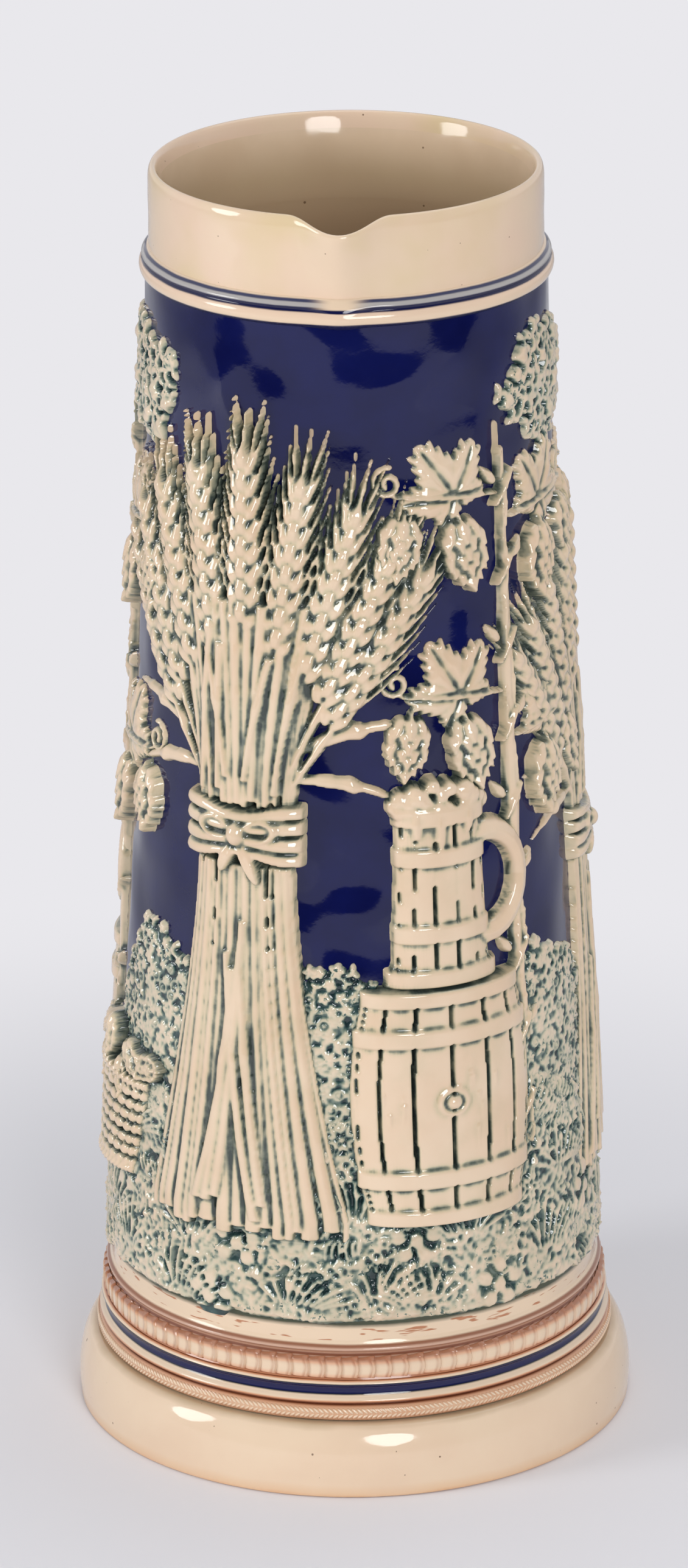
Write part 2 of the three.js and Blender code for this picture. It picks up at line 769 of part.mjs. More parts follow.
// The handle and the pads of clay that root it
add("handle_strap", geometryOf(biggest(solidOf(strap(0)).subtract(seat))), glazes.cobalt);
laid.push(solidOf(strap(JOINT)));
for (const [name, level] of [
  ["handle_root_upper", HANDLE_TOP],
  ["handle_root_lower", HANDLE_FOOT],
]) {
  sprig(name, (g) => {
    const outline = steps(0, 360, 16)
      .slice(0, -1)
      .map((turn) => [
        (HANDLE_WIDTH / 2 + HANDLE_ROOT + g) * Math.cos(turn * DEGREE),
        (HANDLE_THICKNESS / 2 + HANDLE_ROOT + g) * Math.sin(turn * DEGREE),
      ]);
    return wrapped(domed(outline, HANDLE_ROOT_DEPTH + g), HANDLE_ANGLE, level);
  });
}

// The relief, laid from the front of the picture to the back. Each angle is where a sprig stands.
cask("right", 23, 1.2);
cask("left", -114, 1);
basket("left", -76);
sheaf("front", -28, 1.25);
sheaf("side", 90, 1.05);
sheaf("back", -150, 0.9);
hopPole("right", 46, [
  { at: 0.91, side: 1, lean: 30 },
  { at: 0.95, side: -1, lean: 35 },
  { at: 0.6, side: 1, lean: 25 },
  { at: 0.67, side: -1, lean: 30 },
]);
hopPole("far", 129, [
  { at: 0.91, side: -1, lean: 35 },
  { at: 0.77, side: 1, lean: 30 },
  { at: 0.58, side: -1, lean: 25 },
  { at: 0.41, side: 1, lean: 30 },
]);
hopPole("left", -95, [
  { at: 0.865, side: 1, lean: 30 },
  { at: 0.73, side: -1, lean: 35 },
  { at: 0.545, side: 1, lean: 25 },
]);
bough("bough_left", -78);
bough("bough_right", 70);
bough("bough_back_left", -138);
bough("bough_back_right", 148);
bush("bush_front", -2, 1.2);
bush("bush_left", -56, 1.25);
bush("bush_right", 58, 1.15);
bush("bush_back_left", 162, 0.75);
bush("bush_back_right", 138);

export default jug;
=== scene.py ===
"""A tall stoneware beer jug with a blue relief panel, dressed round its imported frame.

Lengths are in millimetres while a piece is on the bench. Each finished mesh is brought to metres.
Angles round the jug start at the pouring lip and grow towards the right of someone who faces it.
"""

import logging
import math
from collections.abc import Callable, Sequence
from dataclasses import dataclass
from enum import Enum
from functools import cached_property
from typing import Any

import bmesh
import bpy
import numpy as np
from mathutils import Matrix, Vector

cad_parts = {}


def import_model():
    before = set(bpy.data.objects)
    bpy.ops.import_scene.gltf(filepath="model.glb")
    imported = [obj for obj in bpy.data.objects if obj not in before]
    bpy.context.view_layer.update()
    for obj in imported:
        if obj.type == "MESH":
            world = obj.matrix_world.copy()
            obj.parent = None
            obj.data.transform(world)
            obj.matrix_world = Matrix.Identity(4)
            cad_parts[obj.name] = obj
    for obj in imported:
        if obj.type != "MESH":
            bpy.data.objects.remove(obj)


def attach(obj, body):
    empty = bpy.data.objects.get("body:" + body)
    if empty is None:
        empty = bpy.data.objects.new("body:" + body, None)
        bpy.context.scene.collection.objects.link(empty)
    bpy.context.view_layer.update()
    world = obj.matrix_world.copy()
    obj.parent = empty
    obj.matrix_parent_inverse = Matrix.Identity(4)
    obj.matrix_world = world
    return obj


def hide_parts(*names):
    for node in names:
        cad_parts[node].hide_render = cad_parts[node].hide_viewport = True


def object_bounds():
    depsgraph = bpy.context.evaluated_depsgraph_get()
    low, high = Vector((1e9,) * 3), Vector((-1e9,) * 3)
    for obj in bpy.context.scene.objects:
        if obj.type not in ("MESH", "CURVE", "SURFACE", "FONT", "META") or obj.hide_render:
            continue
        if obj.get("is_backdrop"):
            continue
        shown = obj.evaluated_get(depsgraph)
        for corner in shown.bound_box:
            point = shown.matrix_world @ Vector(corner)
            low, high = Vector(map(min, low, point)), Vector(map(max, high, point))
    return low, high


LOG = logging.getLogger("jug")
MM = 0.001
BODY = "root"
ROUND_STEPS = 240
NECK_STEPS = 288
SHEET_PITCH = 0.39
GROUND_PITCH = 0.42

Obj = bpy.types.Object
Socket = bpy.types.NodeSocket
Rows = np.ndarray
Bend = Callable[[Rows], Rows]
Point = tuple[float, float]
Colour = tuple[float, float, float]


class Slot(Enum):
    """The material slots of the pieces."""

    CREAM = "cream_glaze"
    COBALT = "cobalt_glaze"
    RELIEF = "relief_glaze"
    MEADOW = "meadow_wash"
    RUSSET = "russet_wash"


def srgb(*screen: float) -> Colour:
    """Turns a colour into linear light.

    Args:
        screen: Red, green and blue of 0 to 255, as seen on a screen.

    Returns:
        The linear colour.
    """
    shares = [value / 255 for value in screen]
    return tuple(share / 12.92 if share <= 0.04045 else ((share + 0.055) / 1.055) ** 2.4 for share in shares)


@dataclass(frozen=True)
class JugForm:
    """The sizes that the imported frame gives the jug."""

    height: float = 370.0
    wall_top_radius: float = 56.0
    wall_foot_radius: float = 72.9
    wall_taper: float = 1.44
    wall_thickness: float = 5.5
    wall_bottom: float = 9.8
    wall_top: float = 345.7
    panel_bottom: float = 50.0
    collar_radius: float = 54.9
    foot_radius: float = 80.4
    foot_height: float = 21.0
    handle_top: float = 266.6
    handle_foot: float = 90.6
    handle_reach: float = 46.0

    def radius(self, height: Any) -> Any:
        """Gives the wall's outer radius.

        Args:
            height: One height above the table, or an array of them.

        Returns:
            The radius at each height.
        """
        span = self.wall_top - self.wall_bottom
        share = np.clip((self.wall_top - np.asarray(height, float)) / span, 0, 1)
        flare = self.wall_foot_radius - self.wall_top_radius
        return self.wall_top_radius + flare * share**self.wall_taper

    def wrap(self, flat: Rows, angle: float, ring: float = 0.0) -> Rows:
        """Bends a flat sheet round the wall.

        Args:
            flat: Points as way along the wall, level on the sheet, height above the wall.
            angle: Where the sheet's own middle line stands, in degrees.
            ring: For a sheet that goes all the way round, the radius it was drawn at, or 0.

        Returns:
            The points in metres.
        """
        height = self.panel_bottom + flat[:, 1]
        wall = self.radius(height)
        turn = math.radians(angle) + flat[:, 0] / (ring if ring else wall)
        return MM * round_axis(wall + flat[:, 2], turn, height)


def rows(*columns: Rows) -> Rows:
    """Sets columns of x, y and z side by side, as rows of points."""
    return np.stack(columns, axis=1)


def round_axis(out: Rows, turn: Rows, height: Rows) -> Rows:
    """Gives the points at a radius, an angle from the lip and a height."""
    return rows(out * np.sin(turn), -out * np.cos(turn), height)


def step_up(value: Rows, low: float, high: float) -> Rows:
    """Gives the share of the way from low to high, kept between 0 and 1."""
    return np.clip((value - low) / (high - low), 0, 1)


def bump(value: Rows, middle: float, width: float) -> Rows:
    """Gives a soft bump of height 1 round a middle."""
    return np.exp(-(((value - middle) / width) ** 2))


FORM = JugForm()


# The bench: steps in edit mode, as by hand


def only(obj: Obj) -> None:
    """Selects one object and nothing else."""
    bpy.ops.object.select_all(action="DESELECT")
    obj.select_set(True)
    bpy.context.view_layer.objects.active = obj


class Workpiece:
    """One mesh on the bench, started from a primitive and shaped by steps on what is picked."""

    def __init__(self, name: str, start: Callable[..., Any], **numbers: Any) -> None:
        """Adds the primitive and opens it in edit mode.

        Args:
            name: The object's name.
            start: The operator that adds the primitive.
            numbers: The operator's own settings.
        """
        if bpy.context.mode != "OBJECT":
            bpy.ops.object.mode_set(mode="OBJECT")
        bpy.ops.object.select_all(action="DESELECT")
        start(**numbers)
        self.obj = bpy.context.active_object
        self.obj.name = name
        self.obj.data.name = name
        bpy.ops.object.mode_set(mode="EDIT")
        bpy.ops.mesh.select_mode(type="VERT")
        self.pick_all()

    def pick(self, test: Callable[[Vector], bool]) -> None:
        """Selects the points whose place passes a test."""
        mesh = bmesh.from_edit_mesh(self.obj.data)
        for vertex in mesh.verts:
            vertex.select_set(test(vertex.co))
        mesh.select_flush_mode()
        bmesh.update_edit_mesh(self.obj.data)

    def pick_all(self) -> None:
        """Selects the whole mesh."""
        bpy.ops.mesh.select_all(action="SELECT")

    def move(self, x: float = 0.0, y: float = 0.0, z: float = 0.0) -> None:
        """Moves what is picked."""
        bpy.ops.transform.translate(value=(x, y, z))

    def size(self, x: float, y: float, z: float) -> None:
        """Scales what is picked about the bench's origin."""
        bpy.ops.transform.resize(value=(x, y, z), center_override=(0, 0, 0))

    def turn(self, degrees: float, axis: str) -> None:
        """Turns what is picked about the bench's origin."""
        bpy.ops.transform.rotate(value=math.radians(degrees), orient_axis=axis, center_override=(0, 0, 0))

    def cut(self, axis: int, places: Sequence[float]) -> None:
        """Cuts rings into the mesh square to an axis.

        Args:
            axis: 0, 1 or 2 for X, Y or Z.
            places: Where the cuts go along the axis.
        """
        square = [float(i == axis) for i in range(3)]
        for place in places:
            self.pick_all()
            bpy.ops.mesh.bisect(plane_co=[place * part for part in square], plane_no=square)

    def weld(self, distance: float) -> None:
        """Merges doubled points and turns the faces outwards."""
        self.pick_all()
        bpy.ops.mesh.remove_doubles(threshold=distance)
        bpy.ops.mesh.normals_make_consistent(inside=False)

    def done(self) -> Obj:
        """Leaves edit mode and gives the object."""
        bpy.ops.object.mode_set(mode="OBJECT")
        return self.obj


def apply_modifier(obj: Obj, kind: str, **settings: Any) -> None:
    """Adds a modifier and applies it.

    Args:
        obj: The object it works on.
        kind: The modifier's type.
        settings: Its settings.
    """
    modifier = obj.modifiers.new(kind.lower(), kind)
    for key, value in settings.items():
        setattr(modifier, key, value)
    bpy.context.view_layer.objects.active = obj
    bpy.ops.object.modifier_apply(modifier=modifier.name)


def points_of(obj: Obj) -> Rows:
    """Reads an object's points as rows of x, y and z."""
    flat = np.zeros(len(obj.data.vertices) * 3, np.float32)
    obj.data.vertices.foreach_get("co", flat)
    return flat.reshape(-1, 3).astype(float)


def set_points(obj: Obj, points: Rows) -> None:
    """Moves an object's points to new places."""
    obj.data.vertices.foreach_set("co", points.astype(np.float32).ravel())
    obj.data.update()


def mark(obj: Obj, name: str, values: Rows) -> None:
    """Keeps a number for each point of an object."""
    obj.data.attributes.new(name, "FLOAT", "POINT").data.foreach_set("value", values.astype(np.float32))


def mesh_object(name: str, form: "Form") -> Obj:
    """Makes an object from copies of modelled forms and links it to the scene."""
    mesh = bpy.data.meshes.new(name)
    mesh.from_pydata(form.points.tolist(), [], form.faces.tolist())
    mesh.update()
    obj = bpy.data.objects.new(name, mesh)
    bpy.context.scene.collection.objects.link(obj)
    return obj


def finish_piece(
    obj: Obj, slot: Slot, finishes: Sequence[bpy.types.Material], node: str, sharp: float = 50
) -> None:
    """Shades a finished piece, gives it its materials and ties it to the frame.

    Args:
        obj: The piece, in metres, with its place in its mesh.
        slot: Not used.
        finishes: Its materials.
        node: The frame's node that it replaces.
        sharp: Edges sharper than this stay sharp, in degrees.
    """
    for finish in finishes:
        obj.data.materials.append(finish)
    only(obj)
    bpy.ops.object.shade_smooth_by_angle(angle=math.radians(sharp))
    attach(obj, BODY)
    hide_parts(node)
    LOG.info("%s: %d faces, replaces %s", obj.name, len(obj.data.polygons), node)


def finish_turned(obj: Obj, slot: Slot, finishes: Sequence[bpy.types.Material], node: str) -> None:
    """Brings a piece from millimetres to metres and finishes it.

    Args:
        obj: The piece.
        slot: The slot that it stands for.
        finishes: Its materials.
        node: The frame's node that it replaces.
    """
    obj.data.transform(Matrix.Scale(MM, 4))
    obj.data.update()
    finish_piece(obj, slot, finishes, node)


def turned_piece(name: str, outline: Sequence[Point], steps: int = ROUND_STEPS) -> Obj:
    """Draws a closed section by extruding from a single point, and turns it once round the axis.

    Args:
        name: The piece's name.
        outline: Radius and height of each point of the section.
        steps: How many steps the turn has.

    Returns:
        The piece, still in millimetres.
    """
    work = Workpiece(name, bpy.ops.mesh.primitive_plane_add, size=2.0)
    work.pick(lambda place: not (place.x > 0 and place.y > 0))
    bpy.ops.mesh.delete(type="VERT")
    work.pick_all()
    work.move(outline[0][0] - 1.0, -1.0, outline[0][1])
    for (r0, z0), (r1, z1) in zip(outline, [*outline[1:], outline[0]]):
        bpy.ops.mesh.extrude_vertices_move(TRANSFORM_OT_translate={"value": (r1 - r0, 0.0, z1 - z0)})
    work.pick_all()
    bpy.ops.mesh.remove_doubles(threshold=1e-3)
    work.pick_all()
    bpy.ops.mesh.spin(steps=steps, angle=2 * math.pi, center=(0, 0, 0), axis=(0, 0, 1))
    work.weld(2e-3)
    return work.done()


def inner_faces(obj: Obj, inside: Callable[[Vector, float], bool]) -> None:
    """Gives the inside of a turned piece its second material.

    Args:
        obj: The piece.
        inside: Tells from a face's middle and how far it looks outwards whether it is inside.
    """
    for face in obj.data.polygons:
        middle = face.center
        outward = middle.x * face.normal.x + middle.y * face.normal.y
        face.material_index = int(inside(middle, outward))


# Forms: small positives that are modelled once and pressed into the clay many times


@dataclass(frozen=True)
class Form:
    """A modelled form, kept as points and triangles so that it can be copied quickly."""

    points: Rows
    faces: Rows


def lift_form(work: Workpiece) -> Form:
    """Takes a workpiece off the bench as a form, made of triangles."""
    work.pick_all()
    bpy.ops.mesh.quads_convert_to_tris()
    obj = work.done()
    points = points_of(obj)
    faces = np.zeros(len(obj.data.polygons) * 3, np.int32)
    obj.data.polygons.foreach_get("vertices", faces)
    bpy.data.objects.remove(obj)
    return Form(points, faces.reshape(-1, 3))


def puff(taper: float, groove: float = 0.0, tip: float = 0.0, segments: int = 12, rings: int = 8) -> Form:
    """Models a rounded form that lies along Y: a grain, a petal, a leaflet or a bract.

    Args:
        taper: Width of its far end, where 1 keeps it as round as the near end.
        groove: Depth of a furrow along its back.
        tip: How far its far end is raised.
        segments: Points round it.
        rings: Rows along it.

    Returns:
        The form, two units long, wide and deep.
    """
    sizes = {"segments": segments, "ring_count": rings, "radius": 1.0}
    work = Workpiece("puff", bpy.ops.mesh.primitive_uv_sphere_add, **sizes)
    work.turn(90, "X")
    narrow = 1 - (1 - taper) * 0.5
    for start in (0.1, 0.6):
        work.pick(lambda place: place.y > start)
        work.size(narrow, 1, narrow)
    if groove:
        work.pick(lambda place: abs(place.x) < 0.08 and place.z > 0.1 and abs(place.y) < 0.97)
        work.move(z=-groove)
    if tip:
        for start in (-0.2, 0.3, 0.7):
            work.pick(lambda place: place.y > start)
            work.move(z=tip / 3)
    return lift_form(work)


def rod(
    near: float, far: float, knuckle: float = 0.0, cuts: int = 9, marks: Sequence[float] = (0.42, 0.24, 0.04)
) -> Form:
    """Models a round bar along Y, from 0 to 1: a stalk, a blade of grass, a withy or a stem.

    Args:
        near: Thickness of its near end, where its middle has 1.
        far: Thickness of its far end.
        knuckle: How much thicker a joint on it is.
        cuts: Rings cut into it.
        marks: How far from each end it starts to narrow, in steps.

    Returns:
        The form, one unit long and two units thick.
    """
    work = Workpiece("rod", bpy.ops.mesh.primitive_cylinder_add, vertices=8, radius=1.0, depth=1.0)
    work.turn(90, "X")
    work.move(y=0.5)
    work.cut(1, [(i + 1) / (cuts + 1) for i in range(cuts)])
    for side, width in enumerate((near, far)):
        narrow = width ** (1 / 3)
        for reach in marks:
            work.pick(lambda place: abs(place.y - side) < reach)
            work.size(narrow, 1, narrow)
    if knuckle:
        work.pick(lambda place: 0.55 < place.y < 0.66)
        work.size(1 + knuckle, 1, 1 + knuckle)
    return lift_form(work)


def board(round_edge: float = 0.18, cuts: int = 21) -> Form:
    """Models a flat bar with rounded edges along Y, from 0 to 1: a stave or a hoop."""
    work = Workpiece("board", bpy.ops.mesh.primitive_cube_add, size=2.0)
    work.size(1, 0.5, 1)
    work.move(y=0.5)
    work.pick(lambda place: place.z > 0)
    bpy.ops.mesh.bevel(offset=round_edge, segments=2, affect="EDGES")
    work.cut(1, [(i + 1) / (cuts + 1) for i in range(cuts)])
    work.cut(0, [-0.5, 0.0, 0.5])
    return lift_form(work)


def hoop_ring(tube: float) -> Form:
    """Models a ring of radius 1 that lies flat."""
    sizes = {"major_segments": 24, "minor_segments": 8, "major_radius": 1.0, "minor_radius": tube}
    work = Workpiece("ring", bpy.ops.mesh.primitive_torus_add, **sizes)
    work.pick(lambda place: place.z < -0.7 * tube)
    work.move(z=0.2 * tube)
    return lift_form(work)


def mat(across: int, along: int) -> Form:
    """Models a thin cushion with a turned-down edge, from -1 to 1 both ways."""
    sizes = {"x_subdivisions": across, "y_subdivisions": along, "size": 2.0}
    work = Workpiece("mat", bpy.ops.mesh.primitive_grid_add, **sizes)
    work.move(z=1.0)
    work.pick(lambda place: abs(place.y) > 1 - 1.5 / along)
    work.move(z=-1.0)
    return lift_form(work)


def polar(tilt: float, reach: float) -> Point:
    """Gives the point at a distance from the origin, in a direction that leans from +Y towards +X."""
    turn = math.radians(tilt)
    return reach * math.sin(turn), reach * math.cos(turn)


def by(at: Point, tilt: float, reach: float) -> Point:
    """Gives the point at a distance from another one."""
    across, along = polar(tilt, reach)
    return at[0] + across, at[1] + along


class Bed:
    """A flat bed of forms, over which a sheet of clay is pressed."""

    def __init__(self, box: "FormBox", seed: int = 0) -> None:
        """Starts with an empty bed.

        Args:
            box: The modelled forms.
            seed: For the irregularity of what is laid.
        """
        self.box = box
        self.rng = np.random.default_rng(seed)
        self.clear()

    def clear(self) -> "Bed":
        """Empties the bed for the next sheet. Its random numbers go on."""
        self.points: list[Rows] = []
        self.faces: list[Rows] = []
        self.wells: list[tuple[float, float, float]] = []
        self.count = 0
        return self

    def lay(
        self,
        kind: str,
        at: Point = (0.0, 0.0),
        size: Sequence[float] = (1.0, 1.0, 1.0),
        tilt: float = 0.0,
        lift: float = 0.0,
        bend: Bend | None = None,
    ) -> None:
        """Lays one copy of a form.

        Args:
            kind: The form's name.
            at: Where its origin goes.
            size: Its size each way.
            tilt: How far it leans towards +X, in degrees.
            lift: How high its origin lies.
            bend: A last change of its points.
        """
        form = self.box.forms[kind]
        x, y, z = (form.points * np.array(size)).T
        cos = math.cos(math.radians(tilt))
        sin = math.sin(math.radians(tilt))
        placed = rows(x * cos + y * sin + at[0], y * cos - x * sin + at[1], z + lift)
        self.points.append(placed if bend is None else bend(placed))
        self.faces.append(form.faces + self.count)
        self.count += len(placed)

    def form(self) -> Form:
        """Joins all that lies on the bed into one form."""
        return Form(np.concatenate(self.points), np.concatenate(self.faces))


class FormBox:
    """All the forms of the relief, modelled once."""

    def __init__(self) -> None:
        """Models the simple forms first, and then those that are made of them."""
        self.forms = {
            "grain": puff(0.45, groove=0.22),
            "petal": puff(1.05, segments=8, rings=6),
            "crumb": puff(0.7, segments=6, rings=4),
            "leaflet": puff(0.35, groove=0.3),
            "lobe": puff(0.42, groove=0.55, segments=16, rings=12),
            "tooth": puff(0.3, segments=8, rings=6),
            "bract": puff(0.34, groove=-0.25, tip=1.5),
            "stalk": rod(0.8, 0.8, knuckle=0.32),
            "awn": rod(0.9, 0.1),
            "blade": rod(0.4, 0.12, cuts=11),
            "crescent": rod(0.6, 0.16, cuts=13, marks=(0.3, 0.16, 0.05)),
            "withy": rod(0.5, 0.5, cuts=11),
            "strand": rod(0.85, 0.85, cuts=19),
            "stave": board(),
            "ring": hoop_ring(0.26),
            "dome": puff(1.0, segments=24, rings=12),
            "mat": mat(260, 30),
        }
        for kind, model in (
            ("floret", self._floret),
            ("trefoil", self._trefoil),
            ("hop_cone", self._hop_cone),
            ("hop_leaf", self._hop_leaf),
            ("ear", self._ear),
        ):
            bed = Bed(self)
            model(bed)
            self.forms[kind] = bed.form()

    def _floret(self, bed: Bed) -> None:
        """Five petals round a knob, about 2 across."""
        for tilt in range(0, 360, 72):
            bed.lay("petal", polar(tilt, 0.58), (0.36, 0.44, 0.42), tilt)
        bed.lay("petal", size=(0.24, 0.24, 0.62))

    def _trefoil(self, bed: Bed) -> None:
        """Three grooved leaflets from one point, about 2 across."""
        for tilt in (20, 140, 260):
            bed.lay("leaflet", polar(tilt, 0.55), (0.34, 0.56, 0.5), tilt)

    def _hop_cone(self, bed: Bed) -> None:
        """A hanging cone of lapped bracts: 21 long, 14 wide and 3.6 deep, from Y = 0 down."""
        plan = ((1, 0.0), (2, 2.1), (3, 3.9), (4, 4.9), (3, 4.2), (4, 5.0), (3, 3.4))
        for row, (count, half) in enumerate(plan):
            for i in range(count):
                a = 0.0 if count == 1 else 2 * i / (count - 1) - 1
                lift = 1.7 * math.sqrt(max(0.0, 1 - (0.85 * a) ** 2))
                bed.lay("bract", (a * half, -17.6 + 2.45 * row), (2.15, 3.4, 1.1), 180 - 20 * a, lift)
        bed.lay("withy", (0, -2.2), (0.9, 4.2, 0.9), 0, 1.0)

    def _hop_leaf(self, bed: Bed) -> None:
        """A leaf of three large and two small toothed lobes, 37 across, with a furrow along each."""
        for tilt, reach in ((122, 10.5), (-122, 10.5), (60, 16.2), (-60, 16.2), (0, 18.5)):
            bed.lay("lobe", polar(tilt, 0.5 * reach), (0.33 * reach, 0.5 * reach, 1.5), tilt, 0.35)
            for i in range(4):
                for side in (-1, 1):
                    stem = polar(tilt, reach * (0.3 + 0.17 * i))
                    at = by(stem, tilt + 90, side * reach * (0.3 - 0.055 * i))
                    bed.lay("tooth", at, (0.075 * reach, 0.15 * reach, 0.95), tilt + side * 34, 0.4)

    def _ear(self, bed: Bed) -> None:
        """An ear of barley: 46 long, 7.5 wide and 2.6 deep, growing up from Y = 0, with its awns."""
        for row in range(8):
            share = row / 7
            v = 4.0 + 35.0 * share
            wide = 1.0 - 0.42 * abs(share - 0.35) ** 1.1 - 0.25 * share
            for side in (-1, 1):
                awn = (0.52, 19.0 - 5 * share, 0.75)
                bed.lay("awn", (side * 2.9 * wide, v + 1.5), awn, side * (18 - 8 * share), 0.5)
                bed.lay("grain", (side * 2.3 * wide, v), (1.65, 3.7, 1.7), side * 21, 1.0)
            bed.lay("grain", (0, v + 2.1), (1.45, 3.3, 1.7), 0, 1.7)
        bed.lay("awn", (0, 39.0), (0.6, 15.0, 0.8), 0, 0.7)


# The relief: sheets of clay, pressed over beds of forms and bent round the wall


def blurred(heights: Rows, spread: float, around: bool = True) -> Rows:
    """Blurs a field of heights.

    Args:
        heights: Rows of levels, columns along the wall.
        spread: The blur's width in cells.
        around: Whether the columns join up.

    Returns:
        The blurred field.
    """
    reach = max(1, int(3 * spread))
    weights = np.exp(-0.5 * (np.arange(-reach, reach + 1) / spread) ** 2)
    weights /= weights.sum()
    for axis, joined in enumerate((False, around)):
        pad = [(reach, reach) if i == axis else (0, 0) for i in (0, 1)]
        padded = np.pad(heights, pad, mode="wrap" if joined else "edge")
        cells = np.arange(heights.shape[axis])
        heights = sum(weight * padded.take(cells + i, axis) for i, weight in enumerate(weights))
    return heights


def open_with(obj: Obj, kind: str, chosen: Rows) -> None:
    """Opens an object in edit mode with some of its parts picked.

    Args:
        obj: The object.
        kind: VERT or FACE.
        chosen: Whether each point or face is picked.
    """
    only(obj)
    bpy.ops.object.mode_set(mode="EDIT")
    bpy.ops.mesh.select_mode(type=kind)
    bpy.ops.mesh.select_all(action="DESELECT")
    bpy.ops.object.mode_set(mode="OBJECT")
    parts = obj.data.vertices if kind == "VERT" else obj.data.polygons
    parts.foreach_set("select", chosen)
    bpy.ops.object.mode_set(mode="EDIT")


@dataclass
class Sheet:
    """A sheet of clay that was pressed over a bed."""

    name: str
    obj: Obj
    angle: float
    slot: Slot
    ring: float
    flat: Rows
    fine: Rows
    rise: Rows


class ReliefPress:
    """Presses sheets, finds where the wash pools between them, and bends them round the wall."""

    map_radius = 65.0
    map_height = 300.0
    map_pitch = 0.7
    sink = 0.45
    bare = 0.09
    edge_sharp = 80.0

    def __init__(self, pitch: float) -> None:
        """Starts with no sheets.

        Args:
            pitch: The size of a sheet's cells.
        """
        self.pitch = pitch
        self.sheets: list[Sheet] = []
        self.columns = round(2 * math.pi * self.map_radius / self.map_pitch)
        self.rows = round(self.map_height / self.map_pitch)

    def press(
        self,
        name: str,
        angle: float,
        bed: Bed,
        slot: Slot = Slot.RELIEF,
        ring: float = 0.0,
        rough: float = 0.0,
    ) -> None:
        """Presses one sheet over a bed, and clears the bed.

        Args:
            name: The frame's node that the sheet stands for.
            angle: Where it stands round the jug, in degrees.
            bed: The forms under it, with levels of the drawn sheet as Y.
            slot: The slot, which picks the sheet's material.
            ring: The radius that a sheet all the way round is drawn at, or 0.
            rough: Height of the tooled roughness between the forms.
        """
        form = bed.form()
        low = form.points.min(axis=0) - 1.2
        high = form.points.max(axis=0) + 1.2
        if ring:
            low[0], high[0] = -math.pi * ring, math.pi * ring
        sides = np.array([low - 9, high + 9])
        table = [[sides[i, 0], sides[j, 1], 0] for i, j in ((0, 0), (1, 0), (1, 1), (0, 1))]
        faces = np.vstack([form.faces, len(form.points) + np.array([[0, 1, 2], [0, 2, 3]])])
        forms = mesh_object("forms", Form(np.vstack([form.points, table]), faces))
        pitch = max(self.pitch, GROUND_PITCH) if ring else self.pitch
        cells = [max(4, round((high[i] - low[i]) / pitch)) for i in (0, 1)]
        numbers = {"x_subdivisions": cells[0], "y_subdivisions": cells[1], "size": 2.0}
        work = Workpiece(f"{name}_relief", bpy.ops.mesh.primitive_grid_add, **numbers)
        work.size((high[0] - low[0]) / 2, (high[1] - low[1]) / 2, 1)
        work.move((high[0] + low[0]) / 2, (high[1] + low[1]) / 2, 30)
        clay = work.done()
        ways = {"use_project_z": True, "use_positive_direction": False, "use_negative_direction": True}
        apply_modifier(clay, "SHRINKWRAP", target=forms, wrap_method="PROJECT", **ways)
        bpy.data.objects.remove(forms)
        if rough:
            self._roughen(clay, rough)
        if bed.wells:
            self._hollow(clay, bed.wells, math.pi * ring)
        around = bool(ring)
        apply_modifier(clay, "SMOOTH", factor=0.5, iterations=2 if around else 3, use_x=False, use_y=False)
        flat = points_of(clay)
        order = np.lexsort((np.round(flat[:, 0], 2), np.round(flat[:, 1], 2)))
        heights = flat[order, 2].reshape(-1, cells[0] + 1)
        spread = 0.9 * cells[0] / (high[0] - low[0])
        pools = np.clip(blurred(heights, spread, around) - heights, 0, 0.6)
        fine, rise = np.zeros(len(flat)), np.zeros(len(flat))
        fine[order] = blurred(pools, 1.0, around).ravel()
        rise[order] = blurred(heights, 0.8, around).ravel()
        self.sheets.append(Sheet(name, clay, angle, slot, ring, flat, fine, rise))
        bed.clear()

    def _hollow(self, clay: Obj, wells: Sequence[Sequence[float]], half: float) -> None:
        """Presses the mat down round the tufts and leaves that grow out of it.

        Args:
            clay: The pressed sheet.
            wells: The middle and radius of each hollow.
            half: Half the length of a sheet that joins up.
        """
        points = points_of(clay)
        low = points[:, 2] < 2.0
        for x, level, radius in wells:
            across = (points[:, 0] - x + half) % (2 * half) - half
            share = step_up(np.hypot(across, points[:, 1] - level) / radius, 0.7, 1.0)[low]
            floor = 0.8 + 1.2 * share
            points[low, 2] = share * np.minimum(points[low, 2], floor) + (1 - share) * floor
        set_points(clay, points)

    def _roughen(self, clay: Obj, rough: float) -> None:
        """Tools small dents and crumbs into the low parts of a sheet.

        Args:
            clay: The pressed sheet.
            rough: Their height.
        """
        x, level, height = points_of(clay).T
        waves = np.cos(0.27 * level + np.sin(0.23 * x))
        patch = 0.5 + 0.5 * np.sin(0.31 * x + 2.2 * np.sin(0.19 * level)) * waves
        low = clay.vertex_groups.new(name="low")
        for step in range(4):
            wanted = (height > 0.3) & (height < 1.72) & (np.minimum(patch * 4, 3.9).astype(int) == step)
            low.add(np.nonzero(wanted)[0].tolist(), 0.3 + 0.23 * step, "REPLACE")
        for scale, strength in ((1.5, rough), (3.8, rough * 0.7)):
            grain = bpy.data.textures.new("crumbs", "CLOUDS")
            grain.noise_scale, grain.noise_depth = scale, 1
            grain.intensity, grain.contrast = 1.8, 4.2
            where = {"texture": grain, "mid_level": 0.8, "direction": "Z", "vertex_group": "low"}
            apply_modifier(clay, "DISPLACE", strength=strength, **where)

